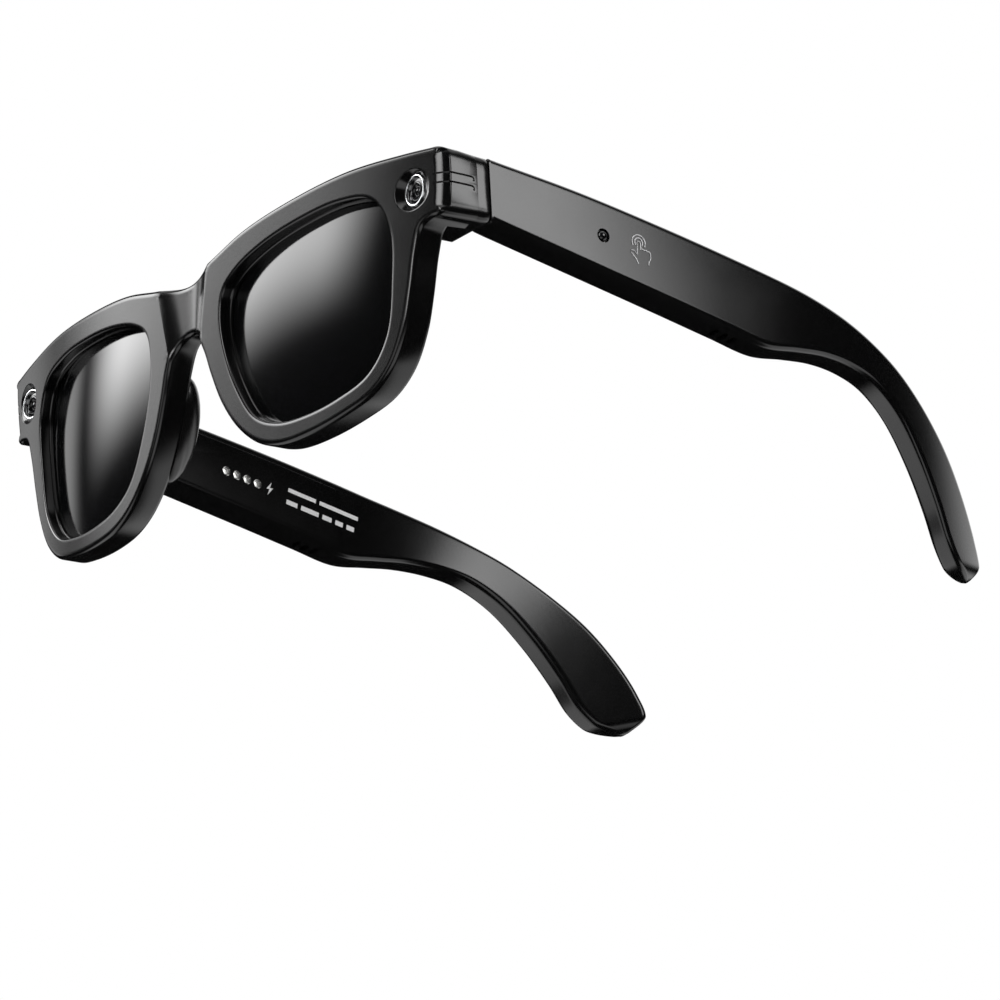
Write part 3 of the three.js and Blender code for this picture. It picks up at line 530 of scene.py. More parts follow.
def tapered(points):
    """Behind the face, brings the moulding's end down to the height and width of the temple."""
    x, y, z = points.T
    share = ease((y - TAPER_FROM) / (SEAM - TAPER_FROM)) * (np.abs(x) > TAPER_INNER_X)
    side = end_side(z) - SIDE_X
    x = x - np.sign(x) * share * side * ease((np.abs(x) - 70) / 3)
    z = z - 0.5 * share * ease((z - 41) / 4)
    return np.stack([x, y, z], 1)


def sheet_points():
    """Extra points for the front face: the bridge's creases and hollow, in even rows."""
    shares = (0, 0.04, 0.09, 0.16, 0.26, 0.38, 0.52, 0.68, 0.84, 0.995, 1.03, 1.1)
    rows = []
    for z in np.arange(28, 44, 0.7):
        for share in shares:
            rows += [(side * share * crease_at(z), z) for side in ((1, -1) if share else (1,))]
    return np.array(rows)


def front_plate():
    outer = front_edge()
    eyes = [opening_rings(side) for side in (1, -1)]
    mouths = [camera_rings(side) for side in (1, -1)]
    points, faces = [], []

    def add(ring_points, ring_faces):
        shift = sum(len(p) for p in points)
        points.append(ring_points)
        faces.extend(tuple(i + shift for i in f) for f in ring_faces)

    for rings in (outer, *eyes):
        add(*joined_rings(rings, caps=False))
    for rings in mouths:
        tube, quads = joined_rings(rings, caps=False)
        add(tube, quads + [tuple(range(len(tube) - MOUTH_SIDES, len(tube)))])
    fronts = [r[:, [0, 2]] for r in (outer[0], *[e[0] for e in eyes], *[m[0] for m in mouths])]
    rows = sheet_points()
    edge = np.concatenate(fronts)
    rows = rows[inside_loop(rows, fronts[0])]
    rows = np.array([p for p in rows if np.min(np.sum((edge - p) ** 2, 1)) > 0.4**2])
    grid = spread(fronts, 1.7, 0.8)
    grid = grid[np.abs(grid[:, 0]) > crease_at(grid[:, 1]) * 1.16]
    flat, triangles = filled(fronts, np.concatenate([rows, grid]))
    height = face_y(*flat.T)
    for rings in mouths:
        for x, y, z in rings[0]:  # the recess's edge keeps its own depth
            height[np.sum((flat - (x, z)) ** 2, 1) < 1e-6] = y
    add(np.stack([flat[:, 0], height, flat[:, 1]], 1), triangles)
    backs = [r[:, [0, 2]] for r in (outer[-1], *[e[-1] for e in eyes])]
    flat, triangles = filled(backs, spread(backs, 2.4, 1))
    known = np.concatenate([outer[-1], *[e[-1] for e in eyes]])
    height = wrap_at(flat[:, 0]) + DEPTH
    for i, (x, z) in enumerate(flat):
        gap = (known[:, 0] - x) ** 2 + (known[:, 2] - z) ** 2
        if gap.min() < 1e-6:
            height[i] = known[gap.argmin(), 1]
    add(np.stack([flat[:, 0], height, flat[:, 1]], 1), triangles)
    return solid("front_plate", tapered(np.concatenate(points)), faces)


plate = front_plate()
print("front plate:", len(plate.data.polygons), "faces")

# %% [markdown]
# ### Square end pieces
# Behind each corner the moulding runs straight back to the seam, where the temple begins. It is
# lofted from the outline's own end, so that its sides run on from the plate's, and it narrows
# to the temple's height. The pocket for the hinge is cut into its back.

# %% End pieces
END_RINGS = [
    (10.5, 0.05), (13, 0.03), (15, 0.03), (16.6, 0.02), (17, 0), (18.2, 0), (19.35, 0),
    (19.45, 0.05), (19.5, 0.15),
]
HINGE_HOLE, HINGE_SPAN = 1.95, (34.5, 43.4)


def end_piece():
    """One end piece, as rings at given depths, each shrunk a little towards its middle."""
    x, z = outline.T
    face = outline[(x > 60.6) & (z > 32.6)]
    face = face[np.argsort(-np.arctan2(face[:, 1] - 39.5, face[:, 0] - 62))]
    face = np.array([(60.4, 47.1), *face, (61.2, 32.65), (60.4, 33.5)])
    away = face - (67, 39.2)
    away /= np.linalg.norm(away, axis=1)[:, None]
    rings = []
    for y, shrink in END_RINGS:
        flat = face - away * shrink
        rings.append(np.stack([flat[:, 0], np.full(len(flat), y), flat[:, 1]], 1))
    points, faces = joined_rings(rings)
    return solid("end_piece", tapered(points), faces)


def block(x, y, z):
    """A box, from a low and a high value of each."""
    around = ((x[0], z[0]), (x[1], z[0]), (x[1], z[1]), (x[0], z[1]))
    rings = [np.array([(a, b, c) for a, c in around], float) for b in y]
    return solid("cutter", *joined_rings(rings))


def upright(radius, x, y, z, sides=32):
    """A round post, from a low to a high z."""
    around = [(x + radius * math.cos(t), y + radius * math.sin(t)) for t in full_turn(sides)]
    rings = [np.array([(a, b, height) for a, b in around]) for height in z]
    return solid("cutter", *joined_rings(rings))


def hinge_hole():
    return upright(HINGE_HOLE, HINGE_X, HINGE_Y, HINGE_SPAN)


ends = []
for side in (1, -1):
    end = end_piece()
    carve(end, block((61.7, 71.4), (17, 21), HINGE_SPAN))
    if side < 0:
        end.data.transform(Matrix.Scale(-1, 4, (1, 0, 0)))
        end.data.flip_normals()
    ends.append(end)
print("end pieces:", [len(e.data.polygons) for e in ends], "faces")

# %% [markdown]
# ### Two fine grooves
# A pair of hair-thin grooves wraps each outer corner from the face to the side and ends in a
# small downward hook. They are cut for real, with a thin bent rod that runs along the surface,
# because a painted line would not catch the light along its lower edge.

# %% Grooves round the corners
GROOVE_HEIGHTS, GROOVE_RADIUS = (40.6, 38.8), 0.2
ASLANT = (0.13, 0.21, 0.97)  # a direction that no rod here runs in


def rod(points, radius, sides=8):
    """A thin round rod along a path in space."""
    path = np.array(points, float)
    along = np.gradient(path, axis=0)
    along /= np.linalg.norm(along, axis=1)[:, None]
    turns = full_turn(sides)
    rings = []
    for p, a in zip(path, along):
        first = np.cross(a, ASLANT)
        first /= np.linalg.norm(first)
        second = np.cross(a, first)
        circle = [math.cos(t) * first + math.sin(t) * second for t in turns]
        rings.append(np.array([p + radius * c for c in circle]))
    return solid("rod", *joined_rings(rings))


def groove_path(z):
    """From the face, round the corner and along the side to the hook."""
    across = float(end_side(z))
    return tapered(smooth([
        (across - 2.6, wrap_at(71.4) - 0.05, z), (across - 1.9, wrap_at(72) + 0.02, z),
        (across - 0.78, wrap_at(73.2) + 0.62, z), (across - 0.1, wrap_at(74) + 1.5, z),
        (across - 0.02, 11.4, z), (across - 0.02, 15, z), (across - 0.02, 15.7, z - 0.1),
        (across - 0.02, 15.95, z - 0.45), (across - 0.02, 15.8, z - 0.85),
    ], steps=5))


for z in GROOVE_HEIGHTS:
    for side, end in zip((1, -1), ends):
        for piece in (plate, end):
            carve(piece, rod(groove_path(z) * (side, 1, 1), GROOVE_RADIUS))
print("front plate with grooves:", len(plate.data.polygons), "faces")

bpy.context.view_layer.update()
with bpy.context.temp_override(active_object=plate, selected_editable_objects=[plate, *ends]):
    bpy.ops.object.join()
plate.name = "front_frame"
dress(plate, "front", "frame_black", frame_black, "front_rim", sharp=28)

# %% [markdown]
# ## Lenses
# A sunglass lens is a piece of a sphere of about 130 mm radius, 2 mm thick. A flat tinted disc
# would show one even tone. So the filled sheet is used again, bulged towards the front, and the
# bulge is what spreads a studio light into the broad soft bands one sees on such lenses. It is
# drawn flatter than that sphere, because the bend of the front already adds to it.

# %% Lenses
BULGE, SET_BACK, BULGE_ROOM, THICK = 1.5, 3.05, 0.45, 2
RIM_OVER, FACE_OVER = 0.65, 0.45  # how far the lens reaches past the opening, into its groove
LENS_MIDDLE, LENS_REACH = np.array([37, 23.5]), np.array([26, 21])


def bulge(x, z):
    across = (np.abs(x) - LENS_MIDDLE[0]) / LENS_REACH[0]
    high = (z - LENS_MIDDLE[1]) / LENS_REACH[1]
    return BULGE * (1 - (across**2 + high**2) / 1.6)


def lens_front(x, z):
    return wrap_at(x) + SET_BACK + BULGE_ROOM - bulge(x, z)


def lens(side):
    """A lens with a blunt edge that sits in the groove of the opening."""
    rim = opening + lens_normal * RIM_OVER
    inner = opening + lens_normal * FACE_OVER
    flat, triangles = filled([inner], spread([inner], 1.6, 0.8))
    front = lens_front(*flat.T)
    back = front + THICK - 0.3
    count = len(flat)
    points = np.concatenate([
        np.stack([flat[:, 0], front, flat[:, 1]], 1), np.stack([flat[:, 0], back, flat[:, 1]], 1),
    ])
    faces = [tuple(t) for t in triangles] + [tuple(t + count)[::-1] for t in triangles]
    edge = [int(np.argmin(np.sum((flat - p) ** 2, 1))) for p in inner]
    middle = lens_front(*rim.T) + THICK / 2
    start = 2 * count
    points = np.concatenate([points, np.stack([rim[:, 0], middle, rim[:, 1]], 1)])
    for i in range(len(edge)):
        j = (i + 1) % len(edge)
        faces.append((edge[i], edge[j], start + j, start + i))
        faces.append((start + i, start + j, edge[j] + count, edge[i] + count))
    return solid("lens", points * (side, 1, 1), faces)


for side, name in ((1, "left"), (-1, "right")):
    made = lens(side)
    made.name = "tinted_lens_" + name
    dress(made, "front", "lens_tint", lens_tint, "lens_" + name, sharp=40)
    print(made.name, len(made.data.polygons), "faces")

# %% [markdown]
# ## Nose pads
# These glasses have no metal pad arms: each pad is a smooth swelling moulded on the back of the
# rim beside the nose. It is the back half of a tilted egg, drawn as rings that shrink towards
# its crown.

# %% Nose pads
PAD_MIDDLE, PAD_HALF, PAD_TILT, PAD_RISE = (13, 17), (3.6, 10.5), 0.45, 4.6


def nose_pad(side):
    """Rings from just inside the rim up to the crown of the pad."""
    rings = []
    turns = full_turn(40)
    for height in np.radians([-8, 0, 10, 20, 30, 40, 50, 60, 70, 79, 86]):
        across = PAD_HALF[0] * np.cos(turns) * math.cos(height)
        along = PAD_HALF[1] * np.sin(turns) * math.cos(height)
        x = PAD_MIDDLE[0] + across * math.cos(PAD_TILT) - along * math.sin(PAD_TILT)
        z = PAD_MIDDLE[1] + across * math.sin(PAD_TILT) + along * math.cos(PAD_TILT)
        y = DEPTH + wrap_at(x) - 0.1 + PAD_RISE * math.sin(height)
        rings.append(np.stack([x * side, y, z], 1))
    return solid("pad", *joined_rings(rings))


for side, name in ((1, "left"), (-1, "right")):
    made = nose_pad(side)
    made.name = "moulded_pad_" + name
    dress(made, "front", "pad_black", pad_black, "nose_pad_" + name, sharp=60)
print("nose pads rise", PAD_RISE, "mm behind the rim")

# %% [markdown]
# ## Cover strip behind the brow
# The flat cable between the two cameras runs in a channel that a thin strip closes. It follows
# the brow on the back of the rims and shows as a hair line, so its edge is rounded a little.

# %% Brow strip
BROW = [(0, 37.4), (9, 39), (16, 40.8), (25, 43), (36, 44.6), (48, 45.1), (56, 44.3)]
STRIP = [(-1.6, -0.4), (-1.6, 0), (-1.5, 0.09), (1.5, 0.09), (1.6, 0), (1.6, -0.4)]


def brow_strip():
    half = smooth(BROW, steps=10)
    line = np.concatenate([half[:0:-1] * (-1, 1), half])
    rings = []
    for x, z in line:
        y = wrap_at(x) + DEPTH
        rings.append(np.array([(x, y + out, z + high) for high, out in STRIP]))
    return solid("brow_strip", *joined_rings(rings))


dress(brow_strip(), "front", "frame_black", frame_black, "brow_cover", sharp=30)
print("the brow strip runs", 2 * BROW[-1][0], "mm from end to end")

# %% [markdown]
# ## Cameras
# A camera looks out through a small round window in a polished ring. Behind the window sit the
# stepped black barrel and a tiny lens. All of it is turned work, so each part is a profile spun
# about the camera's axis, from a list of radius and depth.

# %% Cameras
def spun(name, profile, place=CAMERA, sides=64):
    """Turned work: a profile of radius and depth, spun about the axis of its place."""
    rings = [round_ring(max(r, 1e-3), d, sides, place) for r, d in profile]
    return solid(name, *joined_rings(rings))


RING = [
    (3.08, 2.3), (3.08, 0.72), (3.02, 0.62), (2.92, 0.57), (2.74, 0.57), (2.64, 0.63),
    (2.6, 0.75), (2.58, 2.0),
]
EYE = [
    (2.62, 1.9), (2.62, 1.15), (2.5, 1.08), (1.72, 1.1), (1.66, 1.0), (1.5, 0.96), (1.42, 1.02),
    (1.36, 1.3), (1.0, 1.5), (0.93, 1.42), (0.84, 1.42), (0.8, 1.55), (0.72, 1.42), (0.55, 1.28),
    (0.35, 1.19), (0.15, 1.15), (0, 1.14),
]
for name, mirror in (("left", False), ("right", True)):
    ring = spun("bezel_" + name, RING)
    dress(ring, "front", "ring_steel", ring_steel, "camera_ring_" + name, mirror=mirror)
    eye = spun("eye_" + name, EYE)
    dress(
        eye, "front", "window_black", window_black, "camera_window_" + name,
        mirror=mirror, sharp=40,
    )
    print("camera", name, "has a ring", 2 * RING[0][0], "mm across")

# %% [markdown]
# ## Temples
# A temple is a long hollow bar: deep and straight over the electronics, then curving inwards
# and down over the ear to a rounded paddle. Two curves give its top and bottom edges in side
# view. Cross-sections are strung between them, each a rectangle with rounded corners, and the
# bar narrows and bends inwards along its length. Only its outside is drawn here, because the
# hollow with its parts never shows.

# %% Side view of a temple
TOP_LINE = [
    (19.85, 45.3), (40, 42.4), (60, 38.6), (74, 35.6), (84, 33.3), (95, 30.6), (104, 27.8),
    (112, 24.5), (119, 20.8), (127, 14.9), (134, 8.2), (139.5, 0.4), (142.9, -6.4),
    (144.2, -11), (143, -13.9),
]
LOW_LINE = [
    (19.85, 32.6), (40, 28.1), (60, 23.6), (73, 20.6), (82.5, 18.5), (90, 19), (97, 19.4),
    (104, 18.8), (110.4, 17), (117, 12.6), (123.4, 5), (128.4, -3), (131.6, -9.2),
    (134.6, -12.6), (138.6, -15),
]
TEMPLE_THICK, TIP_THICK, BEND_FROM, REACH, INSET = 7, 5.2, 84, 144.2, 17
CORNER_ROUND, TIP_ROUND, CROWN = 1.15, 3.2, 0.16
INNER_X = SIDE_X - TEMPLE_THICK
top_line, low_line = smooth(TOP_LINE, steps=9), smooth(LOW_LINE, steps=9)


def bent_x(y):
    """The outer side, which bends inwards behind the electronics."""
    return SIDE_X - INSET * (max(0, y - BEND_FROM) / (REACH - BEND_FROM)) ** 2


def thick_at(y):
    return TEMPLE_THICK - (TEMPLE_THICK - TIP_THICK) * max(0, y - BEND_FROM) / (REACH - BEND_FROM)


def section(half_w, half_h, radius):
    """A rounded rectangle, with extra points beside the corners to keep its sides flat."""
    radius = min(radius, half_w * 0.8, half_h * 0.8)
    points = []
    for i, (cx, cz) in enumerate(((1, 1), (-1, 1), (-1, -1), (1, -1))):
        corner = np.array([cx * (half_w - radius), cz * (half_h - radius)])
        steps = [corner + radius * np.array([math.cos(a), math.sin(a)])
                 for a in np.radians(90 * i + np.linspace(0, 90, 7))]
        beside = [np.array([0, -cz * 0.3]), np.array([-cx * 0.3, 0])]
        points += [steps[0] + beside[i % 2], *steps, steps[-1] + beside[1 - i % 2]]
    return points


def temple_bar():
    """One temple, whose sections shrink to a round end over the last few millimetres."""
    rings = []
    middle = (top_line + low_line) / 2
    steps = np.linalg.norm(np.diff(middle[::-1], axis=0), axis=1)
    to_tip = [*np.cumsum(steps)[::-1], 0]
    for i, (top, low) in enumerate(zip(top_line, low_line)):
        height = np.linalg.norm(top - low)
        half_w, half_h = thick_at(middle[i, 0]) / 2, height / 2
        close = min(1, to_tip[i] / TIP_ROUND)
        pull = max(0.08, math.sqrt(1 - (1 - close) ** 2))
        ring = []
        for across, up in section(half_w * pull, half_h * pull, CORNER_ROUND):
            y, z = low + (top - low) * (0.5 + up / height)
            crown = CROWN * (1 - (up / half_h) ** 2) * (across > 0)
            ring.append((bent_x(y) - half_w + across + crown, y, z))
        rings.append(np.array(ring))
    first = rings[0]
    centre = first.mean(0)
    tight = centre + (first - centre) * (1 - 0.22 / np.abs(first - centre).max(0).clip(1))
    rings[0] = first + (0, 0.2, 0)
    tight[:, 1] = first[0, 1]
    return solid("temple", *joined_rings([tight, *rings]))


BEFORE_TIP = 60  # points of a line along which y only grows


def edge_height(line, y):
    return float(np.interp(y, line[:BEFORE_TIP, 0], line[:BEFORE_TIP, 1]))


def middle_z(y):
    return (edge_height(top_line, y) + edge_height(low_line, y)) / 2


halfway_depth = edge_height(top_line, 60) - edge_height(low_line, 60)
print("temple is", round(halfway_depth, 1), "mm deep at the middle")

# %% [markdown]
# ### Openings in the temples
# Real openings are cut into each bar: room for the hinge at its front end, three slots under
# the speaker, the microphone hole, and on one side each the seat of the status dome or the slot
# of the capture button. Boolean cuts are slower than modelling round them, but these are small.

# %% Cut the temples
SPEAKER_Y, SPEAKER_PITCH, MICROPHONE_Y, DOME_Y = 74.2, 2, 27, 45


def temple_shell(name):
    """A temple with the holes that both temples have."""
    bar = temple_bar()
    carve(bar, hinge_hole())
    carve(bar, block((65.6, 69.5), (19, 21.5), (37.15, 40.15)))
    for index in (-1, 0, 1):
        y = SPEAKER_Y + SPEAKER_PITCH * index
        low = edge_height(low_line, y)
        carve(bar, block((68.7, 71.5), (y - 0.5, y + 0.5), (low - 2, low + 1.4)))
    low = edge_height(low_line, MICROPHONE_Y)
    carve(bar, upright(0.4, 70.1, MICROPHONE_Y, (low - 2, low + 1.5), 20))
    bar.name = name
    return bar


DOME = Matrix.Translation((SIDE_X, DOME_Y, middle_z(DOME_Y)))
DOME = DOME @ Matrix.Rotation(math.pi / 2, 4, "Z")
left_shell = temple_shell("left_temple_case")
carve(left_shell, spun("cutter", [(1.4, -1), (1.4, 0.3), (1.3, 0.65), (0, 0.7)], DOME, 40))
dress(left_shell, "left_temple", "frame_black", frame_black, "left_temple_shell", sharp=30)
dome = spun("status_lamp", [
    (1.1, 0.72), (1.1, 0.4), (1.06, 0.2), (0.95, 0), (0.78, -0.17), (0.55, -0.31),
    (0.28, -0.39), (0, -0.41),
], DOME, 40)
dress(dome, "left_temple", "window_black", window_black, "status_dome", sharp=50)
print("left temple case:", len(left_shell.data.polygons), "faces")

# %% [markdown]
# ### Capture button
# The button is a small pill with a crowned top, in a close-fitting slot on the upper edge of the
# right temple. Its own outline is drawn once and used for the slot and for the pill.

# %% Button and its slot
BUTTON_Y, BUTTON_LONG, BUTTON_WIDE, BUTTON_PROUD = 33, 8, 2, 0.8
(y_1, z_1), (y_2, z_2) = TOP_LINE[:2]
BUTTON = Matrix.Translation((INNER_X + TEMPLE_THICK / 2, BUTTON_Y, edge_height(top_line, BUTTON_Y)))
BUTTON = BUTTON @ Matrix.Rotation(math.atan2(z_2 - z_1, y_2 - y_1), 4, "X")


def pill_ring(length, width, height):
    """A ring with round ends, on the sloping upper edge of the temple."""
    straight = (length - width) / 2
    turns = np.linspace(0, math.pi, 15)
    back = [(width / 2 * math.cos(t), straight + width / 2 * math.sin(t)) for t in turns]
    front = [(-a, -b) for a, b in back]
    return np.array([BUTTON @ Vector((a, b, height)) for a, b in back + front])


def pill(steps):
    """A pill from steps inwards and upwards."""
    rings = [pill_ring(BUTTON_LONG - 2 * i, BUTTON_WIDE - 2 * i, h) for i, h in steps]
    return solid("pill", *joined_rings(rings))


right_shell = temple_shell("right_temple_case")
carve(right_shell, pill([(-0.2, -1.8), (-0.2, 2)]))
dress(
    right_shell, "right_temple", "frame_black", frame_black, "right_temple_shell",
    sharp=30, mirror=True,
)
button = pill([(0, -1.9), (0, 0.5), (0.05, 0.64), (0.16, 0.74), (0.35, 0.79), (0.7, BUTTON_PROUD)])
button.name = "shutter_button"
dress(button, "capture_button", "frame_black", frame_black, "capture_button", mirror=True)
print("button stands", BUTTON_PROUD, "mm proud")

# %% [markdown]
# ### Inner covers
# A thin cover closes each temple from the inside. It is flush but for its own rounded edge,
# which leaves the fine parting line one can feel with a nail.

# %% Inner covers
COVER_FROM, COVER_TO, COVER_MARGIN = 21.4, 81.4, 1.65
COVER_EDGE = [(0, 0.3), (0, 0), (0.04, -0.03), (0.12, -0.045)]


def cover_plate(name):
    """A cover with a margin to the temple's edges, and a small rounded edge of its own."""
    ys = np.linspace(COVER_FROM, COVER_TO, 40)
    low = [(y, edge_height(low_line, y) + COVER_MARGIN) for y in ys]
    high = [(y, edge_height(top_line, y) - COVER_MARGIN) for y in ys[::-1]]
    flat = np.array(low + high)
    away = outward(flat)
    rings = []
    for inset, inwards in COVER_EDGE:
        ring = flat - away * inset
        rings.append(np.stack([np.full(len(ring), INNER_X + inwards), ring[:, 0], ring[:, 1]], 1))
    made = solid(name, *joined_rings(rings))
    carve(made, hinge_hole())
    return made


for name, mirror in (("left", False), ("right", True)):
    made = cover_plate(name + "_cover_panel")
    dress(
        made, name + "_temple", "frame_black", frame_black, name + "_inner_cover", mirror=mirror,
    )
print("covers run", COVER_TO - COVER_FROM, "mm along the temples")

# %% [markdown]
# ### Charging contacts
# Four silver contacts on the inner face meet a charging lead. Each is a shallow disc with three
# fine radial cuts, so the disc is spun and then cut with thin blades.

# %% Charging contacts
CONTACT_Y, PITCH = 53.8, 2.45
CONTACT = [(0.92, 0.25), (0.92, -0.06), (0.86, -0.12), (0.74, -0.145), (0.3, -0.16), (0, -0.16)]
for index in range(4):
    y = CONTACT_Y + index * PITCH
    seat = Matrix.Translation((INNER_X, y, middle_z(y))) @ Matrix.Rotation(-math.pi / 2, 4, "Z")
    disc = spun("contact", CONTACT, seat, 32)
    for spoke in range(3):
        angle = math.radians(90 + 120 * spoke)
        blade = block((0.22, 0.78), (-0.3, -0.1), (-0.07, 0.07))
        blade.data.transform(seat @ Matrix.Rotation(angle, 4, "Y"))
        carve(disc, blade)
    disc.name = "contact_disc_" + str(index + 1)
    dress(
        disc, "right_temple", "contact_silver", contact_silver, "charge_contact_" + str(index + 1),
        mirror=True,
    )
print("contacts every", PITCH, "mm")

# %% [markdown]
# ## Printed marks
# Pad printing lays down a film of ink a few hundredths of a millimetre thick. It could be a
# texture, but thin raised shapes keep their edges at any distance. The touch area gets a small
# tapping hand. The text on the real thing is left out: plain bars stand in its place.

# %% Drawn marks
TOUCH_Y, TOUCH_SIZE = 53.5, 5.6
HAND = [
    (0.36, 0), (0.3, 0.14), (0.1, 0.36), (0.1, 0.45), (0.2, 0.45), (0.34, 0.33), (0.34, 0.74),
    (0.38, 0.8), (0.45, 0.8), (0.49, 0.74), (0.49, 0.52), (0.56, 0.55), (0.63, 0.51), (0.69, 0.53),
    (0.76, 0.49), (0.82, 0.5), (0.88, 0.44), (0.88, 0.24), (0.8, 0.12), (0.78, 0),
]
FINGERTIP, STROKE = (0.415, 0.76), 0.09


def arc(radius, start, end):
    """Part of a circle about the fingertip, between two angles."""
    turns = np.radians(np.linspace(start, end, 16))
    u, v = FINGERTIP
    return [(u + radius * math.cos(t), v + radius * math.sin(t)) for t in turns]


def on_outer_face(points):
    """Takes a drawing one unit wide to the left temple's outer face."""
    low = middle_z(TOUCH_Y) - 0.45 * TOUCH_SIZE
    return [
        (SIDE_X + 0.15, TOUCH_Y + (u - 0.5) * TOUCH_SIZE, low + v * TOUCH_SIZE) for u, v in points
    ]


lines = (HAND, arc(0.16, -35, 215), arc(0.27, -30, 210))
strokes = [rod(on_outer_face(line), STROKE, 6) for line in lines]
with bpy.context.temp_override(active_object=strokes[0], selected_editable_objects=strokes):
    bpy.ops.object.join()
strokes[0].name = "touch_mark"
dress(strokes[0], "left_temple", "frame_black", mark_grey)


FILM_LIFTS = (0.02, 0.075)


def film(name, shapes):
    """Flat shapes in (along, up) on the right temple's inner face, as one thin raised film."""
    points, faces = [], []
    for shape in shapes:
        rings = [np.array([(INNER_X - lift, y, z) for y, z in shape]) for lift in FILM_LIFTS]
        tube, quads = joined_rings(rings)
        shift = sum(len(p) for p in points)
        faces += [tuple(i + shift for i in f) for f in quads]
        points.append(tube)
    return solid(name, np.concatenate(points), faces)


MARKS_FROM, MARKS_TO = 62, 82


def along_middle(y, up):
    """A point this far above the middle of the temple, which slopes down to the back."""
    drop = math.atan2(middle_z(MARKS_FROM) - middle_z(MARKS_TO), MARKS_TO - MARKS_FROM)
    middle = middle_z(MARKS_FROM) - (y - MARKS_FROM) * math.tan(drop)
    return y + up * math.sin(drop), middle + up * math.cos(drop)


BOLT_Y, BARS_Y, BAR_GAP = 64, 68.2, 0.9
BOLT = [(0.25, 1.5), (-0.75, -0.2), (0, -0.1), (-0.3, -1.5), (0.75, 0.3), (0, 0.2)]
ROWS = [(1.45, 0.42, (6.6, 9.2)), (-1.2, 0.5, (2.6, 4.2, 2.2, 1.8, 1.8))]
bolt = [along_middle(BOLT_Y + a, b) for a, b in BOLT]
bars = []
for row, height, lengths in ROWS:
    y = BARS_Y
    for length in lengths:
        corners = ((y, -height), (y + length, -height), (y + length, height), (y, height))
        bars.append([along_middle(a, row + b) for a, b in corners])
        y += length + BAR_GAP
marks = film("inner_marks", [bolt, *bars])
dress(marks, "right_temple", "frame_black", mark_white, mirror=True)
print("marks:", len(strokes), "strokes and", len(bars), "bars")

# %% [markdown]
# ## Finishes for the parts inside
# The hinges, pins, boards, cells and cables keep the shapes the CAD gave them. They only need
# their finishes, found by a word in each node's name.

# %% Finishes by name
INSIDE = {
    "hinge": hinge_steel, "pin": hinge_steel, "board": laminate, "battery": foil,
    "cable": flat_cable, "speaker": dark_part, "module": dark_part, "microphone": nickel,
    "magnet": nickel, "touch_strip": gold, "switch": dark_part,
}
for name, node in frame["nodes"].items():
    for word, material in INSIDE.items():
        if word in name:
            node.data.materials.clear()
            node.data.materials.append(material)
shown = [n for n, o in frame["nodes"].items() if not o.hide_render]
print("CAD nodes still shown:", len(shown), shown)

# %% [markdown]
# ## Stage, camera and light
# The glasses are seen from below and to their left, as if held up. So the pale floor lies well
# below them, and the camera between the two looks up with a long lens, which keeps both temples
# in scale. The camera's place is given in the drawing's frame and turned like everything else.

# %% Floor
HALF, FLOOR_Z = 6.0, -0.62
corners = [(-HALF, -HALF), (HALF, -HALF), (HALF, HALF), (-HALF, HALF)]
mesh = bpy.data.meshes.new("floor")
mesh.from_pydata([(x, y, FLOOR_Z) for x, y in corners], [], [(0, 1, 2, 3)])
floor = bpy.data.objects.new("floor", mesh)
bpy.context.scene.collection.objects.link(floor)
mesh.materials.append(finish("floor", (0.86, 0.86, 0.86), 0.7, 0.05, 3, 0.0))
floor.visible_glossy = False
print("the floor is", 2 * HALF, "m wide, and the glasses don't mirror it")

# %% Camera
AZIMUTH, ELEVATION, ROLL = (math.radians(a) for a in (53.67, -18.42, -3.13))
LOOK_AT, DISTANCE, RIGHTWARD, UPWARD = Vector((0, 40, 24)), 1459, 26.94, -18.86
back = Vector((
    math.sin(AZIMUTH) * math.cos(ELEVATION),
    -math.cos(AZIMUTH) * math.cos(ELEVATION),
    math.sin(ELEVATION),
))
right = (-back).cross(Vector((0, 0, 1))).normalized()
up = right.cross(-back)
tilted_right = math.cos(ROLL) * right + math.sin(ROLL) * up
tilted_up = math.cos(ROLL) * up - math.sin(ROLL) * right
eye_point = LOOK_AT + back * DISTANCE + tilted_right * RIGHTWARD + tilted_up * UPWARD
to_row = Matrix.Rotation(lean, 3, "X")
axes = Matrix([to_row @ tilted_right, to_row @ tilted_up, to_row @ back]).transposed()
camera = bpy.data.objects.new("camera", bpy.data.cameras.new("camera"))
camera.matrix_world = Matrix.Translation(PLACE @ eye_point) @ axes.to_4x4()
camera.data.lens, camera.data.sensor_width = 274, 36
camera.data.clip_start, camera.data.clip_end = 0.1, 20
bpy.context.scene.collection.objects.link(camera)
bpy.context.scene.camera = camera
print("camera", [round(v, 3) for v in camera.location], "m")

# %% [markdown]
# ## Light
# Gloss black shows almost nothing but its surroundings, so lighting it means deciding what it
# reflects. Real studios hang large soft panels round the object and keep the rest dark. Here the
# sky itself holds the panels, as soft-edged patches of light in given directions. They have no
# noise and no hard edge. Seen directly, the background is plain white. The first three panels
# make the bright bands on the lenses and rims. The others are weaker, and most of them lie
# above, below or behind, so that the glasses don't turn all black when seen from another side.

# %% Sky with soft panels
world = bpy.data.worlds.new("studio")
bpy.context.scene.world = world
world.use_nodes = True
sky, wire = world.node_tree.nodes, world.node_tree.links
sky.clear()


def math_node(operation, a, b=None):
    """One sum, of other nodes' results or of plain numbers."""
    made = sky.new("ShaderNodeMath")
    made.operation = operation
    for socket, value in zip(made.inputs, (a, b)):
        if hasattr(value, "is_output"):
            wire.new(value, socket)
        elif value is not None:
            socket.default_value = value
    return made.outputs[0]


def dot_with(direction):
    """How much of the looking direction points this way."""
    made = sky.new("ShaderNodeVectorMath")
    made.operation = "DOT_PRODUCT"
    wire.new(looking.outputs["Generated"], made.inputs[0])
    made.inputs[1].default_value = direction
    return made.outputs["Value"]


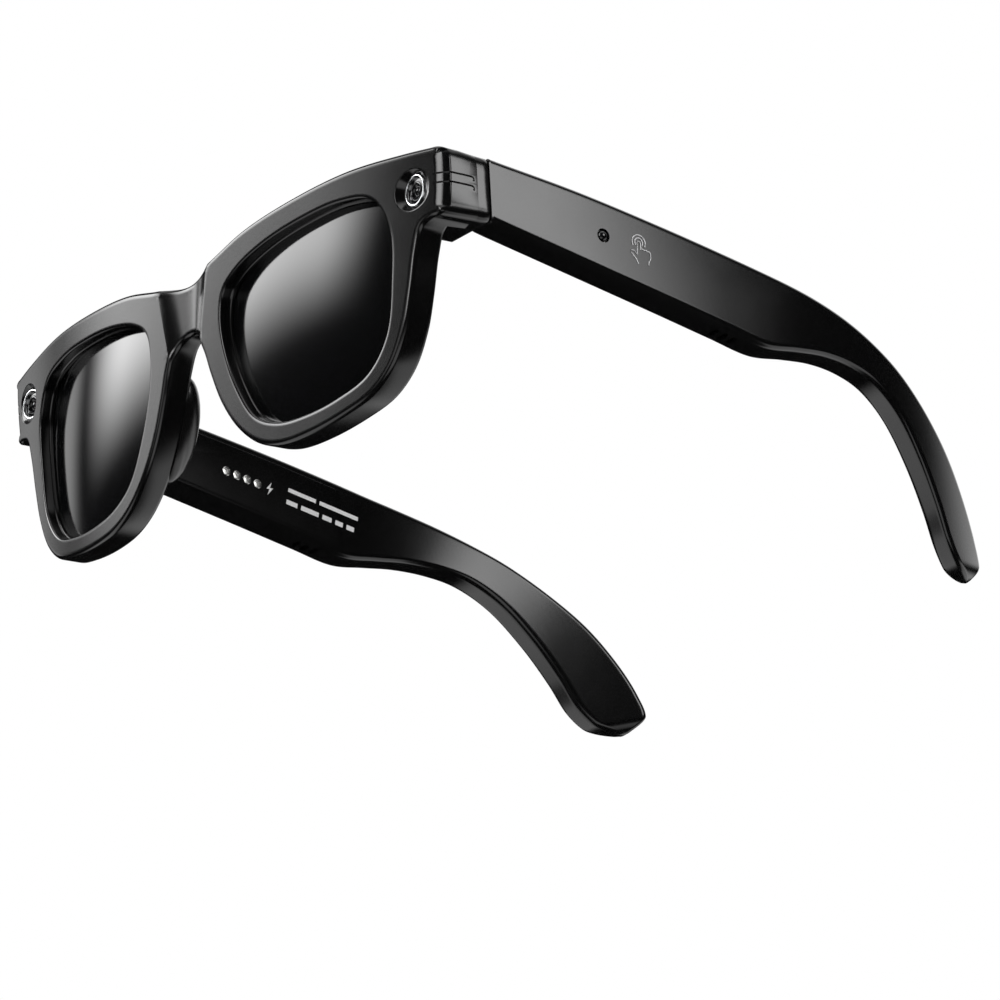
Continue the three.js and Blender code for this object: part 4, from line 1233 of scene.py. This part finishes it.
def soft_band(value, half, fade):
    """One between minus half and half, falling to nothing over the fade."""
    made = sky.new("ShaderNodeMapRange")
    made.interpolation_type = "SMOOTHSTEP"
    made.inputs["From Min"].default_value = half + fade
    made.inputs["From Max"].default_value = half
    wire.new(math_node("ABSOLUTE", value), made.inputs["Value"])
    return made.outputs[0]


looking = sky.new("ShaderNodeTexCoord")


def panel(azimuth, elevation, half, fade, strength):
    """A soft panel. Azimuth 0 is in front of the face, -90 at the wearer's right, in degrees."""
    a, e = math.radians(azimuth), math.radians(elevation)
    ahead = Vector((math.sin(a) * math.cos(e), -math.cos(a) * math.cos(e), math.sin(e)))
    across = Vector((0, 0, 1)).cross(ahead).normalized()
    toward = dot_with(ahead)
    wide = math_node("DIVIDE", dot_with(across), toward)
    high = math_node("DIVIDE", dot_with(ahead.cross(across)), toward)
    wide_band = soft_band(wide, half[0], fade[0])
    shape = math_node("MULTIPLY", wide_band, soft_band(high, half[1], fade[1]))
    facing = math_node("GREATER_THAN", toward, 0.05)
    return math_node("MULTIPLY", math_node("MULTIPLY", shape, facing), strength)


PANELS = [
    # azimuth, elevation, half width and height, fade of each, strength
    (-51, 28.5, (0.18, 0.12), (0.22, 0.14), 9.5),
    (-80, 22, (0.02, 0.16), (0.09, 0.16), 1.6),
    (24, 20, (0.1, 0.3), (0.12, 0.2), 9),
    (0, 88, (0.3, 0.3), (0.6, 0.6), 2),
    (0, -4, (0.15, 0.1), (0.25, 0.2), 1.2),
    (180, -12, (0.3, 0.15), (0.4, 0.25), 1.5),
    (-150, 40, (0.3, 0.2), (0.4, 0.3), 2),
    (-60, -38, (0.4, 0.2), (0.4, 0.2), 1.5),
    (60, -38, (0.3, 0.2), (0.3, 0.2), 1.5),
    (180, -38, (0.5, 0.2), (0.4, 0.2), 1.5),
]
AMBIENT = 0.01
panels = [panel(*row) for row in PANELS]
total = panels[0]
for one in panels[1:]:
    total = math_node("ADD", total, one)
total = math_node("ADD", total, AMBIENT)
rays = sky.new("ShaderNodeLightPath")
seen = sky.new("ShaderNodeBackground")
felt = sky.new("ShaderNodeBackground")
seen.inputs["Color"].default_value = (1, 1, 1, 1)
wire.new(total, felt.inputs["Strength"])
mixed = sky.new("ShaderNodeMixShader")
wire.new(rays.outputs["Is Camera Ray"], mixed.inputs[0])
wire.new(felt.outputs[0], mixed.inputs[1])
wire.new(seen.outputs[0], mixed.inputs[2])
wire.new(mixed.outputs[0], sky.new("ShaderNodeOutputWorld").inputs["Surface"])
bpy.context.scene.view_settings.view_transform = "Standard"
print("soft panels:", len(panels))

# %% [markdown]
# ### Small lamps beside the temple
# The panels in the sky are far away, so a flat face reflects the same part of them everywhere.
# The soft fade along the temple comes from something near: small soft lamps beside it, which
# end one after the other. They are placed by mirroring the view of the temple in its own face.

# %% Side lamps
def lamp(name, start, toward, distance, size, strength):
    """A soft rectangular lamp seen in a mirror at a drawn point, in a given direction."""
    made = bpy.data.objects.new(name, bpy.data.lights.new(name, "AREA"))
    toward = Vector(toward).normalized()
    made.location = PLACE @ (Vector(start) + toward * distance)
    made.rotation_mode = "QUATERNION"
    made.rotation_quaternion = (to_row @ toward).to_track_quat("Z", "Y")
    made.data.shape = "RECTANGLE"
    made.data.size, made.data.size_y = size
    made.data.energy = strength * math.pi * size[0] * size[1]
    made.visible_camera = False
    bpy.context.scene.collection.objects.link(made)
    return made


mirrored = (back.x, -back.y, -back.z)
SIDE_LAMPS = [
    # seen in the mirror at, distance, size, strength
    ((74, -14, 42), 260, (0.1, 0.1), 2.6),
    ((74, -8, 42), 268, (0.12, 0.1), 1.6),
    ((74, 0, 40), 276, (0.12, 0.1), 1.6),
]
for index, (start, distance, size, strength) in enumerate(SIDE_LAMPS):
    made = lamp("side_lamp_" + str(index + 1), start, mirrored, distance, size, strength)
    print(made.name, "at", [round(v, 3) for v in made.location], "m")
